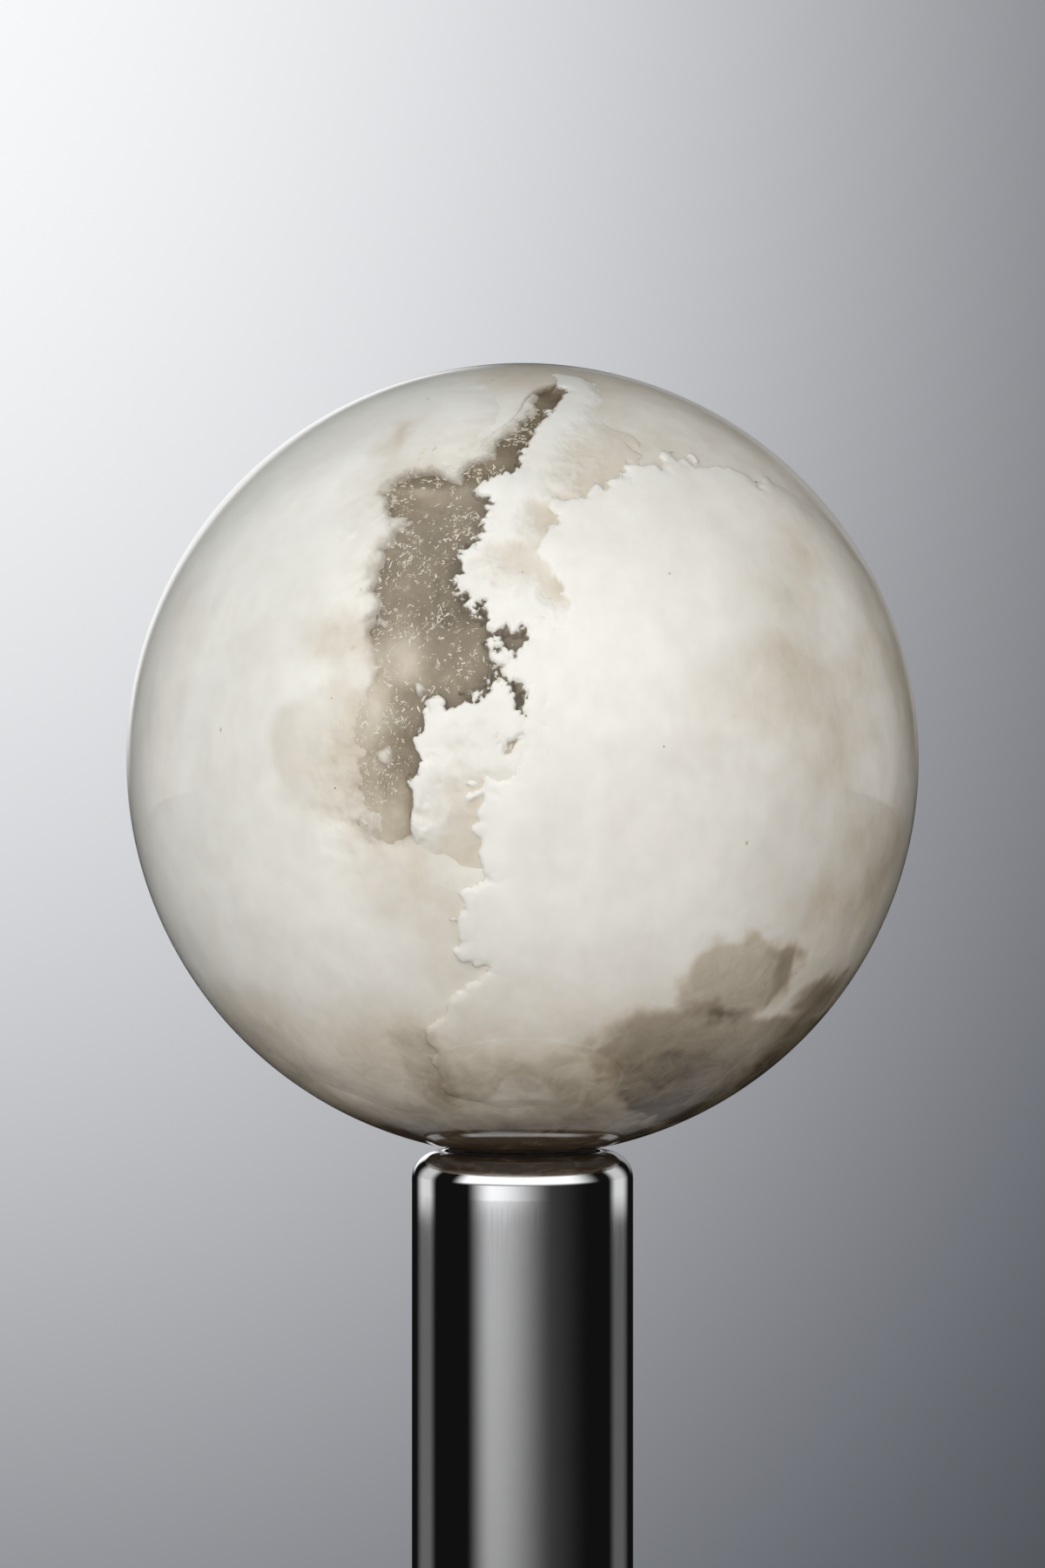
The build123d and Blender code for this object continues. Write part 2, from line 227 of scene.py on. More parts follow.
# ---------------------------------------------------------------- directions and noise
def towards(bearing: float | np.ndarray, latitude: float | np.ndarray) -> np.ndarray:
    """The unit vector (cos l sin b, -cos l cos b, sin l) of a bearing b and a latitude l, in degrees."""
    b, l = np.radians(bearing), np.radians(latitude)
    return np.stack([np.cos(l) * np.sin(b), -np.cos(l) * np.cos(b), np.sin(l) + 0 * b], -1)


def bearing_of(way: np.ndarray) -> np.ndarray:
    """The bearings of unit vectors, in degrees from -180 to 180."""
    return np.degrees(np.arctan2(way[:, 0], -way[:, 1]))


def latitude_of(way: np.ndarray) -> np.ndarray:
    """The latitudes of unit vectors, in degrees."""
    return np.degrees(np.arcsin(np.clip(way[:, 2], -1, 1)))


def noise(spots: np.ndarray, seed: int) -> np.ndarray:
    """Smooth lattice noise.

    Each whole-number lattice point gets a random slope. A place's value is the slopes' heights above it,
    blended over the eight corners of its cell by 6t^5 - 15t^4 + 10t^3 in each direction.

    Args:
        spots: places, in units of the noise's own size.
        seed: which random slopes to use.

    Returns:
        One value from about -1 to 1 for each place.
    """
    draw = np.random.default_rng(seed)
    table = draw.permutation(512)
    slopes = draw.normal(size=(512, 3))
    slopes /= np.linalg.norm(slopes, axis=1, keepdims=True)
    cell = np.floor(spots).astype(int)
    inside = spots - cell
    blend = inside**3 * (inside * (inside * 6 - 15) + 10)
    total = np.zeros(len(spots))
    for corner in np.ndindex(2, 2, 2):
        at = cell + corner
        key = table[(table[(table[at[:, 0] % 512] + at[:, 1]) % 512] + at[:, 2]) % 512]
        height = np.einsum("ij,ij->i", slopes[key], inside - corner)
        share = np.where(corner, blend, 1 - blend).prod(axis=1)
        total += share * height
    return total * 1.6


def rough(way: np.ndarray, size: float, seed: int, octaves: int = 3) -> np.ndarray:
    """Noise on the ball of directions: octaves of half the size and half the height, added up.

    Args:
        way: unit vectors.
        size: the size of the largest lumps, in degrees.
        seed: which random pattern to use.
        octaves: how many sizes are added up.

    Returns:
        One value from about -1 to 1 for each direction.
    """
    scale = 1 / math.radians(size)
    layers = [noise(way * scale * 2**i + 7.3 * i, seed + i) / 2**i for i in range(octaves)]
    return sum(layers) / sum(1 / 2**i for i in range(octaves))


def billows(way: np.ndarray, size: float, seed: int, octaves: int = 3) -> np.ndarray:
    """Rounded lumps with narrow creases between them: sqrt(noise^2 + 0.006), added up over octaves.

    Args:
        way: unit vectors.
        size: the size of the largest lumps, in degrees.
        seed: which random pattern to use.
        octaves: how many sizes are added up.

    Returns:
        One value for each direction, under 0.1 in the creases and about 0.5 on the lumps.
    """
    scale = 1 / math.radians(size)
    layers = [np.sqrt(noise(way * scale * 2**i + 3.1 * i, seed + i) ** 2 + 0.006) / 1.7**i
              for i in range(octaves)]
    return sum(layers) / sum(1 / 1.7**i for i in range(octaves))


def scallops(way: np.ndarray, seed: int) -> np.ndarray:
    """The rounded lumps of a crystal coast, in degrees outwards: billows of 8, 3 and 1.1 degrees."""
    sizes = ((8.0, 5.0), (3.0, 3.6), (1.1, 1.6))
    return sum(height * (billows(way, size, seed + i, 1) - 0.22) for i, (size, height) in enumerate(sizes))


def bent(way: np.ndarray, size: float, amount: float, seed: int, octaves: int = 3) -> np.ndarray:
    """Directions pushed about by noise, so that what is drawn on them gets an uneven outline.

    Args:
        way: unit vectors.
        size: the size of the largest bends, in degrees.
        amount: how far they push, as a share of the ball's radius.
        seed: which random pattern to use.
        octaves: how many sizes are added up.

    Returns:
        Unit vectors.
    """
    moved = way + amount * np.stack([rough(way, size, seed + k, octaves) for k in range(3)], -1)
    return moved / np.linalg.norm(moved, axis=1, keepdims=True)


def ease(value: np.ndarray, low: float, high: float) -> np.ndarray:
    """Rises from 0 at low to 1 at high as 3t^2 - 2t^3."""
    t = np.clip((value - low) / (high - low), 0, 1)
    return t * t * (3 - 2 * t)


@dataclass(frozen=True)
class Lobe:
    """An oval patch on the ball of directions: its middle, its half sizes and its tilt, in degrees."""

    bearing: float
    latitude: float
    half_width: float
    half_height: float
    tilt: float = 0.0

    def reach(self, way: np.ndarray) -> np.ndarray:
        """How far inside the oval directions lie.

        With (x, y) as the direction's angles across and up from the middle, turned by the tilt, it is
        (1 - sqrt((x/a)^2 + (y/b)^2)) times the smaller half size.

        Args:
            way: unit vectors.

        Returns:
            Degrees inside the edge, negative outside.
        """
        middle = towards(self.bearing, self.latitude)
        east = towards(self.bearing + 90, 0)
        north = np.cross(middle, east) * -1
        if north[2] < 0:
            north = -north
        across, up = way @ east, way @ north
        off = np.arccos(np.clip(way @ middle, -1, 1))
        stretch = np.degrees(off) / np.maximum(np.hypot(across, up), 1e-9)
        across, up = across * stretch, up * stretch
        t = math.radians(self.tilt)
        x, y = across * math.cos(t) + up * math.sin(t), up * math.cos(t) - across * math.sin(t)
        q = np.hypot(x / self.half_width, y / self.half_height)
        return (1 - q) * min(self.half_width, self.half_height)


def union(way: np.ndarray, lobes: tuple[Lobe, ...], softness: float = 1.0) -> np.ndarray:
    """How far inside any of several ovals directions lie, with the joints between ovals smoothed.

    It is softness times the logarithm of the sum of exp(reach / softness).

    Args:
        way: unit vectors.
        lobes: the ovals.
        softness: the size of the smoothing, in degrees.

    Returns:
        Degrees inside the edge, negative outside.
    """
    reaches = np.stack([lobe.reach(way) for lobe in lobes])
    most = reaches.max(0)
    return most + softness * np.log(np.exp((reaches - most) / softness).sum(0))


# ---------------------------------------------------------------- shader helpers
class Socket(Enum):
    """The kinds of input and output that a shader node group has."""

    NUMBER = "NodeSocketFloat"
    COLOUR = "NodeSocketColor"
    VECTOR = "NodeSocketVector"


Stops = tuple[tuple[float, tuple[float, float, float]], ...]


class Tree:
    """A node tree that nodes are added to by short calls."""

    def __init__(self, tree: bpy.types.NodeTree) -> None:
        """Keeps the tree and clears it."""
        self.tree = tree
        tree.nodes.clear()

    def add(self, kind: str, settings: dict | None = None, **inputs: object) -> bpy.types.Node:
        """Adds a node.

        Args:
            kind: the node's type name without its Shader prefix.
            settings: properties of the node itself.
            inputs: values or sockets for its inputs. A name has _ for each space, and _3 is input number 3.

        Returns:
            The new node.
        """
        node = self.tree.nodes.new("ShaderNode" + kind)
        for key, value in (settings or {}).items():
            setattr(node, key, value)
        for key, value in inputs.items():
            name = int(key[1:]) if key[1:].isdigit() else key.replace("_", " ")
            self.put(node.inputs[name], value)
        return node

    def put(self, socket: bpy.types.NodeSocket, value: object) -> None:
        """Links a socket to an input or sets the input's own value.

        Args:
            socket: the input.
            value: the socket that feeds it, or its value.
        """
        if isinstance(value, bpy.types.NodeSocket):
            self.tree.links.new(value, socket)
        else:
            socket.default_value = value

    def math(self, operation: str, first: object, second: object = 0.0,
             third: object = 0.0) -> bpy.types.NodeSocket:
        """The result of a math node."""
        node = self.add("Math", {"operation": operation}, _0=first, _1=second, _2=third)
        return node.outputs[0]

    def spread(self, value: object, low: object, high: object, to_low: float = 0.0, to_high: float = 1.0,
               smooth: bool = True) -> bpy.types.NodeSocket:
        """A value carried from one range to another and kept within it.

        Args:
            value: the value.
            low: where the first range starts.
            high: where it ends.
            to_low: what low becomes.
            to_high: what high becomes.
            smooth: whether it eases in and out.

        Returns:
            The carried value.
        """
        kind = "SMOOTHSTEP" if smooth else "LINEAR"
        node = self.add("MapRange", {"interpolation_type": kind}, Value=value, From_Min=low, From_Max=high,
                        To_Min=to_low, To_Max=to_high)
        return node.outputs[0]

    def mix(self, share: object, first: object, second: object) -> bpy.types.NodeSocket:
        """A colour between two colours."""
        node = self.add("Mix", {"data_type": "RGBA"}, _0=share, _6=first, _7=second)
        return node.outputs[2]

    def ramp(self, value: object, stops: Stops) -> bpy.types.NodeSocket:
        """A colour looked up along a row of stops.

        Args:
            value: where to look.
            stops: the place and the colour of each stop.

        Returns:
            The colour.
        """
        node = self.add("ValToRGB", None, Fac=value)
        band = node.color_ramp
        for i, (place, colour) in enumerate(stops):
            stop = band.elements[i] if i < 2 else band.elements.new(place)
            stop.position = place
            stop.color = (*colour, 1.0)
        return node.outputs[0]

    def group(self, tree: bpy.types.NodeTree, **inputs: object) -> bpy.types.Node:
        """Places a node group.

        Args:
            tree: the group's tree.
            inputs: values or sockets for its inputs, with _ for a space in a name.

        Returns:
            The node that holds the group.
        """
        node = self.tree.nodes.new("ShaderNodeGroup")
        node.node_tree = tree
        for key, value in inputs.items():
            self.put(node.inputs[key.replace("_", " ")], value)
        return node

    def place(self) -> bpy.types.NodeSocket:
        """The shaded point in the object's own coordinates."""
        return self.add("TexCoord").outputs["Object"]


def new_group(name: str, takes: dict[str, tuple[Socket, object]], gives: dict[str, Socket]) -> tuple:
    """Starts a shader node group.

    Args:
        name: the group's name.
        takes: name of each input, with its kind and first value.
        gives: name of each output, with its kind.

    Returns:
        The group, its Tree, its input node and its output node.
    """
    group = bpy.data.node_groups.new(name, "ShaderNodeTree")
    for key, (kind, value) in takes.items():
        socket = group.interface.new_socket(name=key, in_out="INPUT", socket_type=kind.value)
        socket.default_value = value
    for key, kind in gives.items():
        group.interface.new_socket(name=key, in_out="OUTPUT", socket_type=kind.value)
    tree = Tree(group)
    start = group.nodes.new("NodeGroupInput")
    end = group.nodes.new("NodeGroupOutput")
    return group, tree, start, end


NOISE_RANGE = (0.3, 0.7)  # where nearly all of a noise node's values lie
DIRT = (0.05, 0.045, 0.04, 1.0)

# From dense white crystals, through thin beige ones and the olive of the deep liquid with painted shade, to
# the bottom's brown, whose darkest stops are painted shade.
CRYSTAL_RAMP: Stops = (
    (0.0, (0.88, 0.885, 0.88)),
    (0.16, (0.80, 0.782, 0.752)),
    (0.36, (0.67, 0.612, 0.535)),
    (0.62, (0.38, 0.325, 0.255)),
    (0.82, (0.24, 0.20, 0.145)),
    (1.0, (0.085, 0.058, 0.037)),
)

# The backdrop's tint, from its dark side to its bright one.
BACKDROP_TINTS: Stops = (
    (0.1, (0.90, 1.0, 1.13)),
    (0.22, (0.975, 1.0, 1.09)),
    (0.4, (0.985, 1.0, 1.055)),
    (0.9, (0.99, 1.0, 1.015)),
)


class Effects:
    """The effects that several finishes share, each a node group built once."""

    def __init__(self) -> None:
        """Builds the groups."""
        self.grain = self.make_grain()
        self.hairlines = self.make_hairlines()
        self.tool_marks = self.make_tool_marks()
        self.crystal = self.make_crystal()
        self.softbox = self.make_softbox()

    @staticmethod
    def make_grain() -> bpy.types.NodeTree:
        """Fine grain: noise at one size, with a quarter-size layer, and a colour varied by it.

        Returns:
            The group.
        """
        group, tree, start, end = new_group(
            "fine_grain",
            {"Place": (Socket.VECTOR, (0, 0, 0)), "Size": (Socket.NUMBER, MM),
             "Colour": (Socket.COLOUR, (1, 1, 1, 1)), "Variation": (Socket.NUMBER, 0.1),
             "Rough low": (Socket.NUMBER, 0.4), "Rough high": (Socket.NUMBER, 0.6)},
            {"Colour": Socket.COLOUR, "Height": Socket.NUMBER, "Roughness": Socket.NUMBER})
        given = start.outputs
        scale = tree.math("DIVIDE", 1.0, given["Size"])
        coarse = tree.add("TexNoise", None, Vector=given["Place"], Scale=scale, Detail=3.0).outputs[0]
        fine_scale = tree.math("MULTIPLY", scale, 4.0)
        fine = tree.add("TexNoise", None, Vector=given["Place"], Scale=fine_scale, Detail=2.0).outputs[0]
        both = tree.math("MULTIPLY_ADD", fine, 0.4, tree.math("MULTIPLY", coarse, 0.6))
        low = tree.math("SUBTRACT", 1.0, given["Variation"])
        high = tree.math("ADD", 1.0, given["Variation"])
        gain = tree.spread(both, *NOISE_RANGE, low, high)
        tint = tree.add("VectorMath", {"operation": "SCALE"}, _0=given["Colour"], Scale=gain)
        shine = tree.spread(coarse, *NOISE_RANGE, given["Rough low"], given["Rough high"])
        tree.put(end.inputs["Colour"], tint.outputs[0])
        tree.put(end.inputs["Height"], both)
        tree.put(end.inputs["Roughness"], shine)
        return group

    @staticmethod
    def make_hairlines() -> bpy.types.NodeTree:
        """Polishing hairlines: noise stretched along the axis, with faint cloudy wipe marks over it.

        Returns:
            The group.
        """
        group, tree, start, end = new_group(
            "polish_hairlines",
            {"Place": (Socket.VECTOR, (0, 0, 0)), "Stretch": (Socket.VECTOR, (1, 1, 0.02)),
             "Size": (Socket.NUMBER, 0.2 * MM), "Low": (Socket.NUMBER, 0.03), "High": (Socket.NUMBER, 0.08)},
            {"Roughness": Socket.NUMBER, "Height": Socket.NUMBER})
        given = start.outputs
        scale = tree.math("DIVIDE", 1.0, given["Size"])
        drawn = tree.add("VectorMath", {"operation": "MULTIPLY"}, _0=given["Place"], _1=given["Stretch"])
        lines = tree.add("TexNoise", None, Vector=drawn.outputs[0], Scale=scale, Detail=2.0).outputs[0]
        wipes = tree.add("TexNoise", None, Vector=given["Place"], Scale=60.0, Detail=3.0,
                         Distortion=0.6).outputs[0]
        cloudy = tree.spread(wipes, *NOISE_RANGE, 0.3, 1.0)
        both = tree.math("MULTIPLY", tree.spread(lines, 0.35, 0.75), cloudy)
        shine = tree.spread(both, 0.0, 1.0, given["Low"], given["High"], smooth=False)
        tree.put(end.inputs["Roughness"], shine)
        tree.put(end.inputs["Height"], lines)
        return group

    @staticmethod
    def make_tool_marks() -> bpy.types.NodeTree:
        """Turned rings: the wave of the distance from the axis plus the height, broken up by noise.

        Returns:
            The group.
        """
        group, tree, start, end = new_group(
            "tool_marks",
            {"Place": (Socket.VECTOR, (0, 0, 0)), "Feed": (Socket.NUMBER, 0.15 * MM),
             "Low": (Socket.NUMBER, 0.25), "High": (Socket.NUMBER, 0.4)},
            {"Roughness": Socket.NUMBER, "Height": Socket.NUMBER})
        given = start.outputs
        parts = tree.add("SeparateXYZ", None, Vector=given["Place"])
        flat = tree.math("ADD", tree.math("MULTIPLY", parts.outputs[0], parts.outputs[0]),
                         tree.math("MULTIPLY", parts.outputs[1], parts.outputs[1]))
        along = tree.math("ADD", tree.math("SQRT", flat), parts.outputs[2])
        rings = tree.math("MULTIPLY", tree.math("DIVIDE", along, given["Feed"]), TURN)
        worn = tree.add("TexNoise", None, Vector=given["Place"], Scale=300.0, Detail=2.0).outputs[0]
        tree.put(end.inputs["Height"], tree.math("MULTIPLY", tree.math("SINE", rings), worn))
        tree.put(end.inputs["Roughness"], tree.spread(worn, *NOISE_RANGE, given["Low"], given["High"]))
        return group

    @staticmethod
    def make_crystal() -> bpy.types.NodeTree:
        """Crystal colour from the growth's own values.

        The tone runs from 0, dense and white, through translucent beige and the olive where only tinted
        liquid shows, itself partly painted shade, to 1, the darkest painted shade at the bottom. Coast is
        the distance inside the mass's edge, and the colour changes there within the given softness, with
        small teeth from noise. Here and there a dark speck of dirt is caught in the crystals.

        Returns:
            The group.
        """
        group, tree, start, end = new_group(
            "crystal_growth",
            {"Place": (Socket.VECTOR, (0, 0, 0)), "Tone": (Socket.NUMBER, 0.0),
             "Coast": (Socket.NUMBER, 1.0), "Softness": (Socket.NUMBER, 0.1), "Flank": (Socket.NUMBER, 0.6)},
            {"Colour": Socket.COLOUR, "Height": Socket.NUMBER})
        given = start.outputs
        place = given["Place"]

        def level(value: bpy.types.NodeSocket, gain: object) -> bpy.types.NodeSocket:
            """Noise about its middle, with the given strength."""
            return tree.math("MULTIPLY", tree.math("SUBTRACT", value, 0.5), gain)

        cloud = tree.add("TexNoise", None, Vector=place, Scale=95.0, Detail=4.0, Roughness=0.6,
                         Distortion=0.4).outputs[0]
        wisp = tree.add("TexNoise", None, Vector=place, Scale=240.0, Detail=5.0, Roughness=0.65,
                        Distortion=1.2).outputs[0]
        combed = tree.add("Mapping", None, Vector=place, Rotation=(0.3, 0.5, 0.2), Scale=(1.0, 1.0, 0.3))
        fibre = tree.add("TexNoise", None, Vector=combed.outputs[0], Scale=900.0, Detail=3.0,
                         Roughness=0.7).outputs[0]
        grit = tree.add("TexVoronoi", {"feature": "F1"}, Vector=place, Scale=1900.0).outputs[0]
        teeth = tree.add("TexNoise", None, Vector=place, Scale=2100.0, Detail=2.0).outputs[0]
        grains = tree.add("TexVoronoi", {"feature": "F1"}, Vector=place, Scale=170.0).outputs[0]
        speck = tree.spread(grains, 0.012, 0.026, 0.75, 0.0)
        edge = tree.math("ADD", given["Coast"], level(teeth, 0.9))
        solid = tree.spread(edge, tree.math("MULTIPLY", given["Softness"], -1.0), given["Softness"])
        mottle = level(wisp, tree.math("MULTIPLY_ADD", given["Tone"], 0.45, 0.08))
        soft = tree.math("ADD", level(cloud, 0.26), mottle)
        tone = tree.math("ADD", tree.math("ADD", given["Tone"], soft), level(fibre, 0.10))
        mass = tree.ramp(tone, CRYSTAL_RAMP)
        flank = tree.ramp(tree.math("ADD", given["Flank"], soft), CRYSTAL_RAMP)
        bumps = tree.math("ADD", tree.math("MULTIPLY", fibre, 0.6), tree.math("MULTIPLY", grit, 0.4))
        tree.put(end.inputs["Colour"], tree.mix(speck, tree.mix(solid, flank, mass), DIRT))
        tree.put(end.inputs["Height"], bumps)
        return group

    @staticmethod
    def make_softbox() -> bpy.types.NodeTree:
        """A soft-edged patch on the sky: one in the middle, falling off over its own edge on each side.

        Returns:
            The group.
        """
        names = ("Left", "Left edge", "Right", "Right edge", "Low", "Low edge", "High", "High edge")
        takes = {"Bearing": (Socket.NUMBER, 0.0), "Elevation": (Socket.NUMBER, 0.0)}
        takes.update({key: (Socket.NUMBER, 0.0) for key in names})
        group, tree, start, end = new_group("softbox", takes, {"Mask": Socket.NUMBER})
        given = start.outputs

        def side(value: bpy.types.NodeSocket, limit: str, sign: float) -> bpy.types.NodeSocket:
            """The rise over one side's edge."""
            outer = tree.math("MULTIPLY_ADD", given[limit + " edge"], sign, given[limit])
            return tree.spread(value, outer, given[limit])

        bearing, elevation = given["Bearing"], given["Elevation"]
        across = tree.math("MULTIPLY", side(bearing, "Left", -1.0), side(bearing, "Right", 1.0))
        up = tree.math("MULTIPLY", side(elevation, "Low", -1.0), side(elevation, "High", 1.0))
        tree.put(end.inputs["Mask"], tree.math("MULTIPLY", across, up))
        return group


# ---------------------------------------------------------------- finishes
def new_material(name: str) -> tuple[bpy.types.Material, Tree]:
    """Starts a material.

    Args:
        name: the material's name.

    Returns:
        The material and its empty tree.
    """
    material = bpy.data.materials.new(name)
    material.use_nodes = True
    return material, Tree(material.node_tree)


class Marks(Enum):
    """The marks that working leaves on a surface."""

    NONE = "none"
    HAIRLINES = "hairlines"
    TOOL = "tool_marks"


@dataclass(frozen=True)
class Finish:
    """A solid finish: its colour, shine and fine surface, all varied by grain."""

    name: str
    colour: tuple[float, float, float]
    metallic: float = 0.0
    rough: tuple[float, float] = (0.4, 0.6)
    grain: float = 0.5 * MM
    variation: float = 0.08
    bump: float = 0.1
    bump_depth: float = 0.05 * MM
    sheen: float = 0.0
    coat: float = 0.0
    marks: Marks = Marks.NONE

    def make(self, effects: Effects) -> bpy.types.Material:
        """Builds the material.

        Args:
            effects: the shared node groups.

        Returns:
            The material, with its colour, roughness and bump from nodes.
        """
        material, tree = new_material(self.name)
        place = tree.place()
        grain = tree.group(effects.grain, Place=place, Size=self.grain, Colour=(*self.colour, 1.0),
                           Variation=self.variation, Rough_low=self.rough[0], Rough_high=self.rough[1])
        roughness, height = grain.outputs["Roughness"], grain.outputs["Height"]
        if self.marks is not Marks.NONE:
            source = effects.hairlines if self.marks is Marks.HAIRLINES else effects.tool_marks
            lines = tree.group(source, Place=place, Low=self.rough[0], High=self.rough[1])
            roughness, height = lines.outputs["Roughness"], lines.outputs["Height"]
        bump = tree.add("Bump", None, Strength=self.bump, Distance=self.bump_depth, Height=height)
        shader = tree.add("BsdfPrincipled", None, Base_Color=grain.outputs["Colour"], Metallic=self.metallic,
                          Roughness=roughness, Normal=bump.outputs[0], Sheen_Weight=self.sheen,
                          Coat_Weight=self.coat)
        tree.add("OutputMaterial", None, Surface=shader.outputs[0])
        return material


@dataclass(frozen=True)
class CrystalFinish:
    """Packed camphor crystals: white where dense, beige where thin, olive where only liquid shows."""

    name: str
    bump: float = 0.25
    bump_depth: float = 0.12 * MM

    def make(self, effects: Effects) -> bpy.types.Material:
        """Builds the material from the growth's tone, coast and softness attributes.

        Args:
            effects: the shared node groups.

        Returns:
            The material.
        """
        material, tree = new_material(self.name)
        stored = {key: tree.add("Attribute", {"attribute_name": key.lower()}).outputs["Fac"]
                  for key in ("Tone", "Coast", "Softness", "Flank")}
        growth = tree.group(effects.crystal, Place=tree.place(), **stored)
        height = growth.outputs["Height"]
        bump = tree.add("Bump", None, Strength=self.bump, Distance=self.bump_depth, Height=height)
        shader = tree.add("BsdfPrincipled", None, Base_Color=growth.outputs["Colour"], Roughness=0.75,
                          Specular_IOR_Level=0.15, Normal=bump.outputs[0])
        tree.add("OutputMaterial", None, Surface=shader.outputs[0])
        return material


@dataclass(frozen=True)
class GlassFinish:
    """Clear blown glass. Light from lamps passes straight through it, so that the contents are lit."""

    name: str
    ior: float = 1.46

    def make(self, effects: Effects) -> bpy.types.Material:
        """Builds the material.

        Args:
            effects: the shared node groups.

        Returns:
            The material.
        """
        material, tree = new_material(self.name)
        grain = tree.group(effects.grain, Place=tree.place(), Size=9 * MM, Variation=0.0)
        bump = tree.add("Bump", None, Strength=0.05, Distance=0.15 * MM, Height=grain.outputs["Height"])
        glass = tree.add("BsdfPrincipled", None, Base_Color=(1, 1, 1, 1), Roughness=0.0, IOR=self.ior,
                         Transmission_Weight=1.0, Normal=bump.outputs[0])
        clear = tree.add("BsdfTransparent", None, Color=(0.985, 0.99, 0.985, 1))
        path = tree.add("LightPath")
        lamps = tree.math("MAXIMUM", path.outputs["Is Shadow Ray"], path.outputs["Is Diffuse Ray"])
        both = tree.add("MixShader", None, _0=lamps, _1=glass.outputs[0], _2=clear.outputs[0])
        tree.add("OutputMaterial", None, Surface=both.outputs[0])
        return material


@dataclass(frozen=True)
class ClearFinish:
    """A boundary between clear things of nearly the same kind: it passes light unbent, faintly tinted."""

    name: str
    tint: tuple[float, float, float]

    def make(self, effects: Effects) -> bpy.types.Material:
        """Builds the material.

        Args:
            effects: the shared node groups.

        Returns:
            The material.
        """
        material, tree = new_material(self.name)
        grain = tree.group(effects.grain, Place=tree.place(), Size=12 * MM, Colour=(*self.tint, 1.0),
                           Variation=0.01)
        clear = tree.add("BsdfTransparent", None, Color=grain.outputs["Colour"])
        tree.add("OutputMaterial", None, Surface=clear.outputs[0])
        return material


FINISHES: dict[str, Finish | CrystalFinish | GlassFinish | ClearFinish] = {
    "globe_glass": GlassFinish("globe_glass"),
    "glass_inside": ClearFinish("glass_inside", (0.995, 0.995, 0.99)),
    "storm_liquid": ClearFinish("storm_liquid", (0.985, 0.98, 0.965)),
    "camphor_crystal": CrystalFinish("camphor_crystal"),
    "camphor_flake": Finish("camphor_flake", (0.80, 0.765, 0.69), rough=(0.35, 0.6), grain=0.4 * MM,
                            variation=0.2),
    "stopper_plastic": Finish("stopper_plastic", (0.78, 0.78, 0.75), rough=(0.35, 0.5), marks=Marks.TOOL),
    "ring_rubber": Finish("ring_rubber", (0.02, 0.02, 0.021), rough=(0.45, 0.6), grain=0.3 * MM),
    "seal_resin": Finish("seal_resin", (0.56, 0.47, 0.30), rough=(0.1, 0.2), grain=2 * MM, coat=0.4),
    "seat_rubber": Finish("seat_rubber", (0.012, 0.012, 0.013), rough=(0.5, 0.7), grain=0.25 * MM, bump=0.2),
    "polished_chrome": Finish("polished_chrome", (0.86, 0.865, 0.875), metallic=1.0, rough=(0.03, 0.075),
                              grain=14 * MM, variation=0.015, bump=0.01, bump_depth=0.01 * MM,
                              marks=Marks.HAIRLINES),
    "turned_aluminium": Finish("turned_aluminium", (0.70, 0.71, 0.72), metallic=1.0, rough=(0.22, 0.36),
                               variation=0.05, bump=0.25, bump_depth=0.02 * MM, marks=Marks.TOOL),
    "gasket_rubber": Finish("gasket_rubber", (0.018, 0.018, 0.018), rough=(0.6, 0.8), grain=0.3 * MM),
    "weight_iron": Finish("weight_iron", (0.09, 0.09, 0.095), metallic=0.7, rough=(0.5, 0.75),
                          grain=0.8 * MM, variation=0.25, bump=0.5, bump_depth=0.15 * MM),
    "black_felt": Finish("black_felt", (0.028, 0.028, 0.031), rough=(0.85, 1.0), grain=0.35 * MM,
                         variation=0.45, bump=0.8, bump_depth=0.3 * MM, sheen=0.5),
    "zinc_steel": Finish("zinc_steel", (0.60, 0.61, 0.62), metallic=1.0, rough=(0.25, 0.4), grain=1.5 * MM,
                         variation=0.08),
    "spring_steel": Finish("spring_steel", (0.10, 0.10, 0.11), metallic=1.0, rough=(0.35, 0.5), grain=MM,
                           variation=0.15),
}


class Workshop:
    """Holds the materials, and finishes and fastens each piece."""

    def __init__(self) -> None:
        """Builds the shared effects. Materials are made when they are first asked for."""
        self.effects = Effects()
        self.made: dict[str, bpy.types.Material] = {}

    def material(self, name: str) -> bpy.types.Material:
        """The finish of that name as a material, made when it is first asked for.

        Args:
            name: a name in FINISHES.

        Returns:
            The material.
        """
        if name not in self.made:
            self.made[name] = FINISHES[name].make(self.effects)
        return self.made[name]

    def dress(self, piece: bpy.types.Object, finishes: tuple[str, ...]) -> None:
        """Gives a piece its materials in the order of its faces' material numbers.

        Args:
            piece: the piece.
            finishes: the names of its finishes.
        """
        piece.data.materials.clear()
        for name in finishes:
            piece.data.materials.append(self.material(name))

    def fit(self, piece: bpy.types.Object, body: str, slot: str, nodes: tuple[str, ...] = (),
            finishes: tuple[str, ...] = ()) -> bpy.types.Object:
        """Finishes a new piece, puts it on its body and hides what it stands for.

        Args:
            piece: the new piece.
            body: the body that it rides on.
            slot: the record's material slot.
            nodes: the CAD nodes that it replaces.
            finishes: its materials, or the slot's own if none are named.

        Returns:
            The piece.
        """
        self.dress(piece, finishes or (slot,))
        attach(piece, body)
        if nodes:
            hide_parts(*nodes)
        log.info("%s on %s, %d faces", piece.name, body, len(piece.data.polygons))
        return piece


# ---------------------------------------------------------------- places read from the frame
def span(node: str) -> tuple[Vector, Vector]:
    """The lowest and highest corner of a CAD node."""
    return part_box(node)


def radius_of(node: str) -> float:
    """Half the width of a turned CAD node."""
    low, high = span(node)
    return (high.x - low.x) / 2


